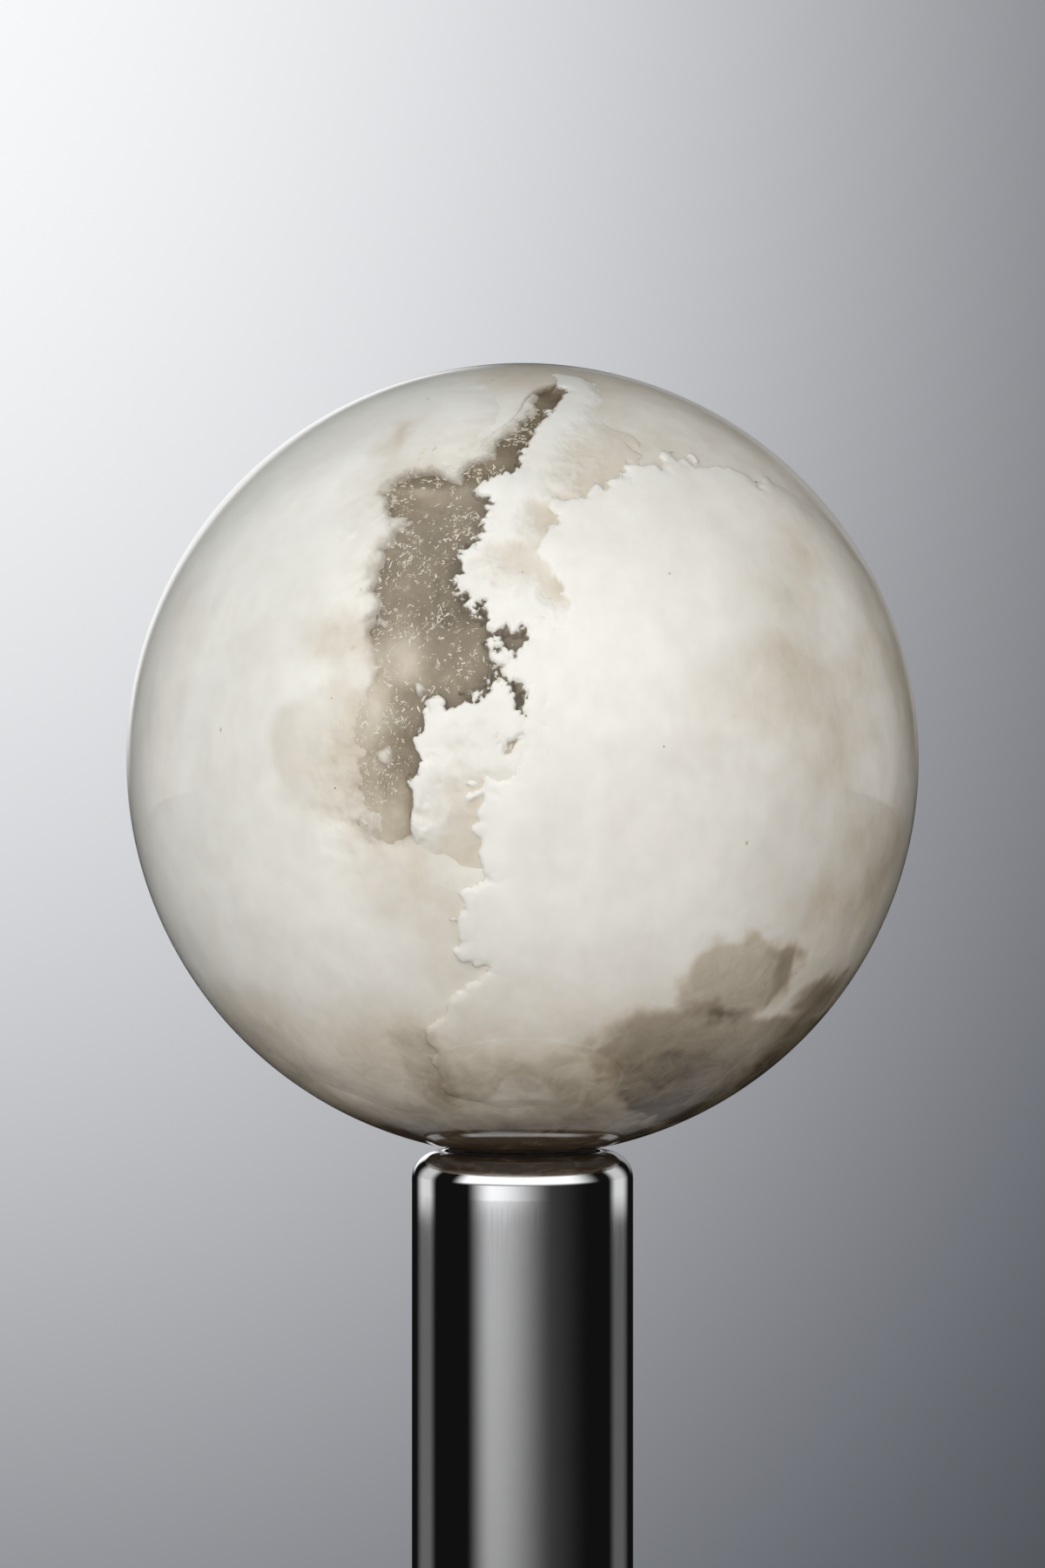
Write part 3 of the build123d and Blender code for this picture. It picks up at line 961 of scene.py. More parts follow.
GLOBE_TOP = span("glass_globe")[1].z
GLOBE_RADIUS = round(radius_of("glass_globe"), 4)
GLOBE_Z = GLOBE_TOP - GLOBE_RADIUS
CENTRE = np.array([0.0, 0.0, GLOBE_Z])


# ---------------------------------------------------------------- globe
@dataclass
class Globe:
    """The blown glass with its neck, and the liquid in it."""

    radius: float = GLOBE_RADIUS - 0.03 * MM
    wall: float = 1.97 * MM
    neck_radius: float = 6.0 * MM
    bore: float = 4.0 * MM
    root: float = 1.0 * MM
    lip: float = 0.5 * MM
    fill_gap: float = 0.1 * MM
    ullage: float = 1.2 * MM
    steps: int = 175

    def arc(self, radius: float, start: float, stop: float) -> np.ndarray:
        """Points on a circle about the globe's centre between two angles off the bottom, in radians."""
        angle = np.linspace(start, stop, self.steps)
        return np.stack([radius * np.sin(angle), GLOBE_Z - radius * np.cos(angle)], -1)

    def glass_outline(self) -> np.ndarray:
        """The wall's outline: over the ball from the top to the neck, round its end, and back up inside.

        Returns:
            The outline's points, one line of (radius from the axis, height) each.
        """
        neck_end = span("glass_globe")[0].z
        reach = self.radius + self.root
        side = self.neck_radius + self.root
        root_angle = math.asin(side / reach)
        root_z = GLOBE_Z - reach * math.cos(root_angle)
        ball = self.arc(self.radius, math.pi, root_angle)
        turn = np.linspace(root_angle, math.pi / 2, 9)[1:]
        root = np.stack([side - self.root * np.sin(turn), root_z + self.root * np.cos(turn)], -1)
        end = rounded([(self.neck_radius, root_z, 0), (self.neck_radius, neck_end, self.lip),
                       (self.bore, neck_end, self.lip), (self.bore, root_z, 0)], closed=False)[1:]
        inner = self.radius - self.wall
        inside = self.arc(inner, math.asin(self.bore / inner), math.pi)
        outline = np.concatenate([ball, root, end, inside])
        outline[[0, -1], 0] = 0.0
        return outline

    def make_glass(self, shop: Workshop) -> None:
        """Makes the glass, bending light at its outside only, because the filling touches its inside.

        Args:
            shop: the workshop that finishes it.
        """
        piece = outward(turned("glass_globe_blown", self.glass_outline(), 256))
        shop.fit(piece, "globe", "globe_glass", ("glass_globe",), ("globe_glass", "glass_inside"))
        middle = np.zeros(len(piece.data.polygons) * 3, np.float32)
        piece.data.polygons.foreach_get("center", middle)
        middle = middle.reshape(-1, 3) - CENTRE
        inner = self.radius - self.wall / 2
        below = middle[:, 2] < -inner
        inside = np.where(below, np.hypot(middle[:, 0], middle[:, 1]) < self.bore + self.fill_gap,
                          np.linalg.norm(middle, axis=1) < inner)
        piece.data.polygons.foreach_set("material_index", inside.astype(np.int32))

    def make_liquid(self, shop: Workshop) -> None:
        """Makes the liquid's surface: a ball with a flat top under the air space, closed at the neck.

        Args:
            shop: the workshop that finishes it.
        """
        radius = self.radius - self.wall - self.fill_gap
        top = math.acos((radius - self.ullage) / radius)
        low = math.asin((self.bore - self.fill_gap) / radius)
        neck_low = span("storm_solution")[0].z
        bore = self.bore - self.fill_gap
        ball = self.arc(radius, math.pi - top, low)
        flat = np.array([(0.0, ball[0, 1]), (ball[0, 0] * 0.98, ball[0, 1])])
        neck = np.array([(bore, neck_low), (0.0, neck_low)])
        piece = outward(turned("storm_liquid_fill", np.concatenate([flat, ball, neck]), 192))
        shop.fit(piece, "globe", "storm_liquid", ("storm_solution",))


# ---------------------------------------------------------------- crystals
FILL_RADIUS = GLOBE_RADIUS - 2.1 * MM
DEGREE = FILL_RADIUS / MM * math.pi / 180  # millimetres on the fill's surface for one degree
SKIRT = 7.2  # how deep a mass's buried edge lies, in millimetres
BACK = 7.9  # how deep its hidden back lies


RIFT = (
    Lobe(9, 64.5, 1.9, 4.2, -30),
    Lobe(3, 58, 1.5, 3.6, -25),
    Lobe(-3, 51, 2.4, 5.0, -25),
    Lobe(-7, 46, 4.2, 3.2, 20),
    Lobe(-19, 40.5, 6.2, 5.0, -20),
    Lobe(-14, 37, 6.2, 6.0, 15),
    Lobe(-17, 28, 6.6, 8.0),
    Lobe(-14, 18, 9.0, 6.0),
    Lobe(-10, 13, 8.0, 4.8, -5),
    Lobe(-19, 5, 5.2, 8.0),
    Lobe(-21, -4, 4.2, 6.6, -5),
)
NOTCHES = (Lobe(-2, 17, 2.2, 1.3), Lobe(-0.5, 9, 1.1, 1.7), Lobe(-0.5, 2.5, 1.7, 1.0, 25))
VEIL = (Lobe(-19, 15, 4, 4.5), Lobe(-24, 5, 5, 8), Lobe(-21, -9, 6, 5), Lobe(-19, 42, 4.5, 1.4))
LOW_PATCHES = (
    (Lobe(40, -33, 11, 7.5), 0.34),
    (Lobe(49, -32, 2.5, 4.2), 0.12),
    (Lobe(67, -36, 7, 4), 0.30),
    (Lobe(66, -53, 35, 13), 0.34),
    (Lobe(80, -44, 12, 13), 0.09),
    (Lobe(-22, -50, 3.5, 9), 0.15),
    (Lobe(28, -56, 20, 9), 0.09),
)
RIGHT_PATCHES = (
    (Lobe(37, 10, 13, 7, 10), 0.17),
    (Lobe(48, 2, 8, 6), 0.12),
    (Lobe(52, 31, 6, 4), 0.14),
    (Lobe(60, -18, 10, 9), 0.12),
    (Lobe(46, 24, 4, 3), 0.12),
)
LEFT_PATCHES = (
    (Lobe(-29, 1, 9, 10), 0.17),
    (Lobe(-21, -15, 6, 8), 0.13),
    (Lobe(-12, -22, 5, 12), 0.12),
    (Lobe(-64, 10, 7, 17), 0.10),
    (Lobe(-31, 53, 2, 4), 0.3),
    (Lobe(-28, 17, 6, 4), 0.18),
    (Lobe(-62, -42, 12, 8), 0.12),
)
RIFT_LATITUDES = (-90, -12, -4, 5, 13, 18, 27, 37, 46, 52, 58, 65, 72, 90)
RIFT_MIDDLES = (-19, -20, -20, -17, -12, -14, -17, -13, -6, -2, 4, 10, 15, 15)
REAR_RIFT = (
    Lobe(178, 34, 5, 12, -15),
    Lobe(172, 14, 9, 9),
    Lobe(178, -6, 7, 12, 10),
    Lobe(184, -28, 4, 10, 10),
    Lobe(-120, 8, 8, 5, 30),
    Lobe(-128, 16, 5, 6),
    Lobe(118, -22, 6, 8, 20),
)


def rift_side(way: np.ndarray) -> np.ndarray:
    """Degrees to the right of the front rift's middle line, negative to its left."""
    middle = np.interp(latitude_of(way), RIFT_LATITUDES, RIFT_MIDDLES)
    return (bearing_of(way) - middle) * np.cos(np.radians(latitude_of(way)))


def patches(way: np.ndarray, lobes: tuple[tuple[Lobe, float], ...], blur: float) -> np.ndarray:
    """The sum of soft ovals, each rising over the blur, in degrees, to its own strength."""
    return sum(strength * ease(lobe.reach(way), -blur, blur) for lobe, strength in lobes)


def low_shade_and_brown(way: np.ndarray) -> np.ndarray:
    """How much darker crystals are towards the bottom, as painted shade that is deepest just above the post,
    with thin brown places at the lower right.

    Args:
        way: unit vectors.

    Returns:
        What to add to a tone at each direction.
    """
    low = -latitude_of(way)
    places = patches(bent(way, 5, 0.06, 154), LOW_PATCHES, 1.2)
    # Painted shade: the two easings darken the underside, most where the post shades it; the patches are the
    # crystals' own brown places.
    return 0.45 * ease(low, 22, 60) + 0.50 * ease(low, 57, 72) + places


def settle_and_shade(tone: np.ndarray, way: np.ndarray) -> np.ndarray:
    """Darkens a mass towards the bottom with painted shade, where its own clouds give way to ones that all
    masses share.

    Args:
        tone: the mass's own tone.
        way: unit vectors.

    Returns:
        The tone with the painted shade and the brown places towards the bottom.
    """
    shared = 0.05 + 0.12 * rough(way, 11, 778, 3)
    return tone + (shared - tone) * ease(-latitude_of(way), 34, 50) + low_shade_and_brown(way)


def veil_at(way: np.ndarray) -> np.ndarray:
    """How much the thin beige veil at the left of the rift covers each direction, from 0 to 1."""
    return ease(union(way, VEIL) + 2.5 * rough(way, 8, 840, 3), -2.5, 2.5)


def near_rift(way: np.ndarray) -> np.ndarray:
    """Rises from 0 to 1 over the last six degrees before the front rift."""
    return ease(union(way, RIFT), -8, -2)


@dataclass
class Growth:
    """What a crystal mass is like at each of many directions."""

    shore: np.ndarray  # millimetres inside its lobes' plain outline
    coast: np.ndarray  # millimetres inside its scalloped edge
    recess: np.ndarray  # millimetres that its face lies behind the glass
    tone: np.ndarray  # 0 white to 1 dark
    softness: np.ndarray  # half the width of the colour's change at its edge, in millimetres
    flank: np.ndarray  # the tone below its edge


@dataclass
class CrystalMass:
    """One mass of crystals: a relief on a patch of the ball of directions, with a closed back.

    The patch is a disc of rings and spokes. Ring t and spoke a lead to the direction that lies t times the
    half sizes away from the middle, along (cos a, sin a). The face's radius is the fill's, less the recess
    and less the drop to the skirt over the edge.
    """

    name: str
    nodes: tuple[str, ...]
    bearing: float
    latitude: float
    half_width: float
    half_height: float
    seed: int
    lobes: tuple[Lobe, ...] = ()
    scallop: float = 1.0
    rings: int = 150
    spokes: int = 600

    def directions(self, shares: np.ndarray) -> np.ndarray:
        """The unit vectors of rings, spoke by spoke.

        Args:
            shares: how far out each ring lies, as a share of the half sizes.

        Returns:
            One unit vector for each point.
        """
        angle = np.linspace(0, TURN, self.spokes, endpoint=False)
        x = np.radians(self.half_width) * shares[:, None] * np.cos(angle)
        y = np.radians(self.half_height) * shares[:, None] * np.sin(angle)
        off = np.hypot(x, y)
        middle, east = towards(self.bearing, self.latitude), towards(self.bearing + 90, 0)
        north = np.cross(east, middle)
        side = (x[..., None] * east + y[..., None] * north) / np.maximum(off, 1e-9)[..., None]
        way = middle * np.cos(off)[..., None] + side * np.sin(off)[..., None]
        return way.reshape(-1, 3)

    def grow(self, way: np.ndarray, limit: np.ndarray) -> Growth:
        """Works out the mass. Kinds of mass change this.

        The edge follows the lobes, bent by broad noise, with billowing scallops of three sizes along it.

        Args:
            way: unit vectors.
            limit: how far inside the patch's rim each direction lies, in degrees.

        Returns:
            What the mass is like at each direction.
        """
        shore = np.minimum(union(bent(way, 14, 0.035, self.seed + 1, 2), self.lobes), limit)
        edge = shore + self.scallop * scallops(way, self.seed + 11)
        cloud = rough(way, 16, self.seed + 31, 3)
        return Growth(shore=shore * DEGREE, coast=edge * DEGREE, recess=0.3 + 0.2 * cloud,
                      tone=0.02 + 0.09 * rough(way, 22, self.seed + 41), softness=np.full(len(way), 0.14),
                      flank=0.36 + 0.40 * near_rift(way))

    def build(self) -> bpy.types.Object:
        """Builds the closed mesh with its tone, coast and softness.

        Returns:
            The piece.
        """
        shares = np.linspace(0, 1, self.rings + 1)[1:]
        way = self.directions(shares)
        ring = np.repeat(shares, self.spokes)
        size = min(self.half_width, self.half_height)
        growth = self.grow(way, (0.92 - ring) * size)
        growth.coast = np.minimum(growth.coast, (0.98 - ring) * size * DEGREE)
        fall = ease(0.3 - growth.coast, 0.0, 2.2)
        round_off = 0.35 * np.exp(-np.maximum(growth.coast, 0) / 0.6)
        depth = np.minimum(growth.recess + round_off, SKIRT - 0.4)
        depth = depth + (SKIRT - depth) * fall
        depth = np.where(ring > 0.999, SKIRT, depth)
        face = CENTRE + way * (FILL_RADIUS - depth * MM)[:, None]
        middle = towards(self.bearing, self.latitude)
        start = face[: self.spokes].mean(0)
        back_shares = np.array([0.8, 0.5, 0.25])
        edge_way = way[-self.spokes:]
        back = np.concatenate([CENTRE + edge_way * (FILL_RADIUS - BACK * MM),
                               CENTRE + self.directions(back_shares) * (FILL_RADIUS - BACK * MM)])
        points = np.concatenate([face, back, [start], [CENTRE + middle * (FILL_RADIUS - BACK * MM)]])
        rows = self.rings + 1 + len(back_shares)
        quads = grid_quads(rows, self.spokes, wrap=True)
        piece = outward(make_piece(self.name, points, quads, end_fans(rows, self.spokes)))
        hidden = len(points) - len(face)
        for key, values, behind in (("tone", growth.tone, 0.5), ("coast", growth.coast, -5.0),
                                    ("softness", growth.softness, 0.2), ("flank", growth.flank, 0.6)):
            set_values(piece, key, np.concatenate([values, np.full(hidden, behind)]))
        return piece


def sink(growth: Growth, share: np.ndarray, depth: float, width: float) -> None:
    """Lets a face slope down towards its edge, so that the edge is flush with what lies behind it.

    Args:
        growth: the growth, whose recess is changed.
        share: how much of the slope each direction gets.
        depth: how deep the edge comes to lie, in millimetres.
        width: how far inside the plain outline the slope starts, in millimetres.
    """
    slope = share * (1 - ease(growth.shore, -0.5, width))
    growth.recess += (depth - growth.recess) * slope


class RightBank(CrystalMass):
    """The big bank at the right of the front, with a crisp scalloped edge."""

    def grow(self, way: np.ndarray, limit: np.ndarray) -> Growth:
        """The bank's edge, its faint clouds and its thin places at the right.

        Args:
            way: unit vectors.
            limit: how far inside the patch's rim each direction lies, in degrees.

        Returns:
            What the mass is like at each direction.
        """
        growth = super().grow(way, limit)
        wobble = bent(way, 8, 0.04, self.seed + 50)
        thin = patches(wobble, RIGHT_PATCHES, 3.0)
        bearing, latitude = bearing_of(way), latitude_of(way)
        side = ease(bearing, 18, 75)
        haze = 0.26 * side * rough(wobble, 11, self.seed + 57, 4)
        growth.tone = settle_and_shade(growth.tone + thin + haze + 0.24 * side, way)
        growth.recess += 0.5 * thin
        low = np.maximum(ease(-latitude, 34, 44) * ease(bearing, 4, 18), ease(-latitude, 55, 61))
        vague = np.maximum(low, ease(bearing, 55, 70))
        calm = np.maximum(vague, 0.45 * ease(-latitude, 0, 12))
        growth.coast += (growth.shore - growth.coast) * calm
        growth.softness += 1.2 * vague
        growth.flank += (growth.tone - growth.flank) * vague
        sink(growth, vague, 1.5, 8.0)
        return growth


class LeftBank(CrystalMass):
    """The bank at the left, whose edge along the rift is soft and sinks back into the liquid."""

    def grow(self, way: np.ndarray, limit: np.ndarray) -> Growth:
        """The bank left of the rift, and under the right bank's edge below the rift.

        Args:
            way: unit vectors.
            limit: how far inside the patch's rim each direction lies, in degrees.

        Returns:
            What the mass is like at each direction.
        """
        growth = super().grow(way, limit)
        bearing, latitude = bearing_of(way), latitude_of(way)
        calm = 1 - 0.5 * ease(latitude, 38, 50)
        fray = calm * (0.6 * scallops(way, self.seed + 61) + 1.2 * rough(way, 2.5, self.seed + 62, 3))
        rift = (-union(way, RIFT, 0.4) + fray) * DEGREE
        lower = -11 - latitude + 3.0 * rough(way, 6, self.seed + 63, 3)
        beside = np.maximum(-rift_side(way) - 0.3, lower) * DEGREE
        growth.coast = np.minimum(np.minimum(growth.coast, rift), beside)
        near = 1 - ease(growth.coast, 0.0, 7.0)
        upper = ease(latitude, -20, 0)
        under = ease(rift_side(way), -9, 4) * (1 - upper)
        lumpy = bent(way, 5, 0.045, self.seed + 54)
        soft = patches(lumpy, LEFT_PATCHES, 2.2)
        growth.recess += 0.5 * near * upper + 0.7 * under + 0.4 * soft
        growth.tone = settle_and_shade(growth.tone + 0.13 * near * upper + soft + 0.08 * under, way)
        sill = ease(latitude, -22, -12) * ease(rift_side(way), -14, -5) * near
        growth.softness = 0.3 + 0.9 * ease(-bearing, 14, 21) * upper * near + 0.9 * sill
        growth.recess += 0.6 * sill
        top, bottom = ease(latitude, 54, 64), ease(-latitude, 36, 46)
        outer = np.maximum(top, bottom)
        growth.coast += (growth.shore - growth.coast) * outer
        growth.coast = np.minimum(np.minimum(growth.coast, rift), beside)
        growth.softness += 1.5 * outer * ease(rift, 1.0, 6.0)
        growth.flank -= 0.28 * top + 0.36 * veil_at(way) * upper
        growth.flank += (growth.tone - growth.flank) * bottom
        sink(growth, top, 1.6, 9.0)
        sink(growth, bottom, 1.5, 8.0)
        return growth


class Tongue(CrystalMass):
    """The tongue right of the rift: crisp and white along the rift, thinner and beige further right."""

    def grow(self, way: np.ndarray, limit: np.ndarray) -> Growth:
        """The tongue's lobes less the rift and its notches, sinking and darkening away from the rift.

        Args:
            way: unit vectors.
            limit: how far inside the patch's rim each direction lies, in degrees.

        Returns:
            What the mass is like at each direction.
        """
        growth = super().grow(way, limit)
        latitude = latitude_of(way)
        calm = 1 - 0.5 * ease(latitude, 44, 54)
        nick = 0.75 * scallops(way, self.seed + 71) + 0.5 * rough(way, 0.8, self.seed + 74, 2)
        rift = (-union(way, RIFT + NOTCHES, 0.4) + calm * nick) * DEGREE
        beside = (rift_side(way) - 0.3) * DEGREE
        growth.coast = np.minimum(np.minimum(growth.coast, rift), beside)
        inward = ease(rift + rough(way, 5, self.seed + 73, 3) * 2.0, 2.0, 8.0)
        lagoon = patches(bent(way, 5, 0.05, self.seed + 76), ((Lobe(9, 30, 4, 9), 1.0),), 1.5)
        growth.recess = 0.3 + 0.6 * inward
        growth.tone += 0.27 * inward + 0.10 * lagoon
        growth.softness[:] = 0.1
        top = ease(latitude, 52, 62) * ease(rift, 2.0, 5.0)
        growth.coast += (np.minimum(growth.shore, rift) - growth.coast) * top
        growth.softness += 1.5 * top
        growth.flank -= 0.05 * top
        sink(growth, top, 1.6, 7.0)
        low = ease(-latitude, 0, 9)
        growth.coast += (np.minimum(np.minimum(growth.shore, rift), beside) - growth.coast) * low
        growth.softness += 1.1 * low * ease(rift, 0.5, 3.0)
        growth.tone += 0.06 * low
        growth.flank += (growth.tone - growth.flank) * low * ease(rift, 0.0, 3.0)
        sink(growth, low * ease(rift, 1.0, 4.0), 1.4, 6.0)
        return growth


class Crown(CrystalMass):
    """The thin crystals at the top and upper right, behind the banks' edges."""

    def grow(self, way: np.ndarray, limit: np.ndarray) -> Growth:
        """A recessed face of broad soft clouds.

        Args:
            way: unit vectors.
            limit: how far inside the patch's rim each direction lies, in degrees.

        Returns:
            What the mass is like at each direction.
        """
        growth = super().grow(way, limit)
        growth.coast = np.minimum(growth.coast, (-union(way, RIFT, 0.4) - 1.0) * DEGREE)
        growth.recess = 1.0 + 0.3 * rough(way, 16, self.seed + 81)
        right = ease(way[:, 0], -0.15, 0.2)
        olive = patches(bent(way, 6, 0.05, self.seed + 84), ((Lobe(3, 74, 12, 7), 0.17),), 4.0)
        growth.tone = 0.06 + 0.14 * right + 0.12 * rough(way, 14, self.seed + 82, 3) + olive
        growth.softness[:] = 0.5
        return growth


class Bed(CrystalMass):
    """The crystals that have settled at the bottom, round the mouth of the neck, dark with painted shade."""

    def grow(self, way: np.ndarray, limit: np.ndarray) -> Growth:
        """A recessed brown face, darkened by painted shade, with a dimple over the neck.

        Args:
            way: unit vectors.
            limit: how far inside the patch's rim each direction lies, in degrees.

        Returns:
            What the mass is like at each direction.
        """
        growth = super().grow(way, limit)
        growth.recess = 0.9 + 0.4 * billows(way, 9, self.seed + 91) + 3.5 * ease(-latitude_of(way), 86, 88)
        growth.tone = settle_and_shade(growth.tone, way)
        growth.coast = growth.shore
        growth.softness[:] = 0.3
        growth.flank = growth.tone
        sink(growth, np.ones(len(way)), 2.2, 9.0)
        return growth


class RearBank(CrystalMass):
    """A bank at the back, with a crisp edge along the rear rift."""

    def grow(self, way: np.ndarray, limit: np.ndarray) -> Growth:
        """The bank less the rear rift.

        Args:
            way: unit vectors.
            limit: how far inside the patch's rim each direction lies, in degrees.

        Returns:
            What the mass is like at each direction.
        """
        growth = super().grow(way, limit)
        rift = (-union(way, REAR_RIFT) + scallops(way, self.seed + 95)) * DEGREE
        growth.coast = np.minimum(growth.coast, rift)
        thin = ease(rough(way, 20, self.seed + 97), 0.1, 0.6)
        growth.tone = settle_and_shade(growth.tone + 0.22 * thin, way)
        growth.recess += 0.5 * thin
        return growth


@dataclass
class Crystals:
    """All the crystals in the globe."""

    core_depth: float = 1.6  # behind the fill's surface, in millimetres
    flake_groups: int = 560
    flakes_per_group: int = 6
    flake_reach: float = 0.15  # half the length of a middling flake, in millimetres
    flake_thickness: float = 0.09 * MM
    masses: list[CrystalMass] = field(default_factory=lambda: [
        RightBank("crystal_bank_right_growth", ("crystal_bank_right",), 34, -12, 66, 76, 100, (
            Lobe(22, 29, 15.5, 14), Lobe(38, 29, 24, 18), Lobe(62, 20, 30, 24), Lobe(11, 13, 10.5, 7),
            Lobe(26, 3, 26, 18), Lobe(9, -10, 15.5, 11), Lobe(8, -25, 16.5, 11), Lobe(1, -42, 12.5, 11),
            Lobe(36, -14, 22, 12), Lobe(52, -14, 20, 15), Lobe(74, 6, 26, 34), Lobe(78, -22, 18, 20),
            Lobe(40, -34, 32, 22), Lobe(54, -46, 32, 17), Lobe(-3, -53, 10, 12), Lobe(30, -55, 24, 12)),
            rings=160),
        LeftBank("crystal_bank_left_growth", ("crystal_bank_left",), -48, 4, 62, 82, 200, (
            Lobe(-60, 66, 46, 17), Lobe(-30, 62, 18, 9), Lobe(-55, 5, 46, 56), Lobe(-30, 44, 34, 22),
            Lobe(-20, -38, 40, 30), Lobe(-20, -12, 22, 20), Lobe(-60, 50, 50, 22), Lobe(-85, -8, 22, 44)),
            rings=160),
        Tongue("crystal_tongue_growth", ("crystal_tongue",), 0, 27, 28, 55, 300, (
            Lobe(15, 66, 8, 13), Lobe(7, 52, 12, 15), Lobe(5, 38, 12, 12), Lobe(3, 26, 11, 11),
            Lobe(2, 10, 11, 12), Lobe(-4, 1, 11, 7), Lobe(-8, -10, 8, 12)), rings=155, spokes=560),
        Crown("crystal_crown_growth", ("crystal_crown",), 20, 74, 64, 50, 400, (Lobe(20, 74, 60, 46),),
              rings=110, spokes=420),
        Bed("crystal_bed_growth", ("crystal_bed",), 0, -90, 44, 44, 500, (Lobe(0, -90, 41, 41),),
            rings=110, spokes=420),
        RearBank("crystal_bank_rear_right_growth", ("crystal_bank_rear_right",), 134, 0, 52, 66, 600, (
            Lobe(134, 5, 42, 50), Lobe(120, -35, 36, 24), Lobe(150, 40, 30, 26), Lobe(108, 20, 24, 30)),
            rings=110, spokes=460),
        RearBank("crystal_bank_rear_left_growth", ("crystal_bank_rear_left",), -134, 0, 52, 66, 700, (
            Lobe(-134, 5, 42, 50), Lobe(-120, -35, 36, 24), Lobe(-150, 42, 30, 26), Lobe(-108, 20, 24, 30)),
            rings=110, spokes=460),
    ])

    def make_core(self, shop: Workshop) -> None:
        """Makes the deep crystals: a whole ball of soft lumps, dark olive in the rift, the liquid's tint
        with painted shade for the dim crystals behind it.

        The radius at a direction is the fill's less the core's depth with broad noise, and a millimetre less
        in the rift.

        Args:
            shop: the workshop that finishes it.
        """
        rows, columns = 240, 400
        latitude = np.linspace(90, -90, rows + 2)[1:-1]
        bearing = np.linspace(-180, 180, columns, endpoint=False)
        way = towards(*np.broadcast_arrays(bearing[None, :], latitude[:, None])).reshape(-1, 3)
        lumps = rough(way, 12, 830, 3)
        veil, deep = veil_at(way), near_rift(way)
        depth = self.core_depth + 0.25 * lumps + 1.0 * deep - 1.0 * veil * deep
        face = CENTRE + way * (FILL_RADIUS - depth * MM)[:, None]
        tips = CENTRE + np.array([[0, 0, 1], [0, 0, -1]]) * (FILL_RADIUS - self.core_depth * MM)
        piece = outward(make_piece("crystal_core_growth", np.concatenate([face, tips]),
                                   grid_quads(rows, columns, wrap=True), end_fans(rows, columns)))
        # Painted shade: the tone darkens towards the bottom, and the rift's olive adds painted shade to the
        # liquid's tint.
        plain = settle_and_shade(0.16 + 0.16 * lumps, way)
        tone = plain + (0.80 - 0.38 * veil + 0.15 * lumps - plain) * deep
        set_values(piece, "tone", np.append(tone, [0.4, 0.4]))
        for key, value in (("coast", 5.0), ("softness", 0.5), ("flank", 0.6)):
            set_values(piece, key, np.full(len(tone) + 2, value))
        shop.fit(piece, "globe", "camphor_crystal", ("crystal_core",))

    def make_flakes(self, shop: Workshop) -> None:
        """Makes the loose flakes on the glass across the rift.

        Flakes come in groups, some of them joined into sprigs. A flake is a thin six-sided plate with very
        uneven corners, longer than wide, lying near the glass with a slight tilt. Most are a quarter of a
        millimetre long, a few over a millimetre.

        Args:
            shop: the workshop that finishes them.
        """
        draw = np.random.default_rng(SEED)
        tries = 4000
        seeds = towards(draw.uniform(-28, 3, tries), draw.uniform(-10, 62, tries))
        inside = union(seeds, RIFT) * DEGREE
        wanted = (inside > 0.3) & (rough(seeds, 5, 910, 2) > draw.uniform(-0.5, 0.5, tries))
        sparse = (inside > -9) & (rift_side(seeds) < 0) & (draw.uniform(0, 1, tries) < 0.05)
        groups = seeds[wanted | sparse][: self.flake_groups]
        count = len(groups) * self.flakes_per_group
        loose = np.repeat(draw.choice([0.22, 1.3], len(groups), p=[0.6, 0.4]), self.flakes_per_group)
        spread = draw.normal(0, math.radians(0.8), (count, 3)) * loose[:, None]
        way = np.repeat(groups, self.flakes_per_group, axis=0) + spread
        way /= np.linalg.norm(way, axis=1, keepdims=True)
        length = np.clip(draw.lognormal(math.log(self.flake_reach), 0.65, count), 0.06, 0.7) * MM
        width = np.clip(length * draw.uniform(0.12, 0.45, count), 0.025 * MM, 0.12 * MM)
        lean = draw.uniform(0, math.pi, count)
        east = np.cross([0.0, 0.0, 1.0], way) * -1
        east /= np.linalg.norm(east, axis=1, keepdims=True)
        north = np.cross(east, way)
        along = np.cos(lean)[:, None] * north + np.sin(lean)[:, None] * east
        along += way * draw.normal(0, 0.25, (count, 1))
        across = np.cross(way, along)
        angle = np.arange(6) * TURN / 6
        reach = draw.uniform(0.2, 1.0, (count, 6))
        bow = draw.uniform(-0.3, 0.3, (count, 1)) * length[:, None] * np.cos(2 * angle)
        flat = ((np.cos(angle) * reach * length[:, None])[..., None] * along[:, None]
                + (np.sin(angle) * reach * width[:, None])[..., None] * across[:, None]
                + bow[..., None] * way[:, None] * 0.5)
        middle = CENTRE + way * (FILL_RADIUS - draw.uniform(0.35, 0.7, (count, 1)) * MM)
        thick = way[:, None] * (self.flake_thickness / 2)
        front, back = middle[:, None] + flat + thick, middle[:, None] + flat - thick
        points = np.concatenate([front, back], 1).reshape(-1, 3)
        side = np.arange(6)
        ring = np.stack([side, side + 6, (side + 1) % 6 + 6, (side + 1) % 6], -1)
        caps = np.array([[0, 1, 2, 3], [0, 3, 4, 5], [9, 8, 7, 6], [11, 10, 9, 6]])
        one = np.concatenate([ring, caps])
        quads = (one[None] + np.arange(count)[:, None, None] * 12).reshape(-1, 4)
        piece = outward(make_piece("crystal_flakes_loose", points, quads))
        piece.data.polygons.foreach_set("use_smooth", np.zeros(len(piece.data.polygons), bool))
        shop.fit(piece, "globe", "camphor_flake", ("crystal_flakes",))

    def make(self, shop: Workshop) -> None:
        """Makes every mass, the core and the flakes.

        Args:
            shop: the workshop that finishes them.
        """
        for mass in self.masses:
            shop.fit(mass.build(), "globe", "camphor_crystal", mass.nodes)
        self.make_core(shop)
        self.make_flakes(shop)


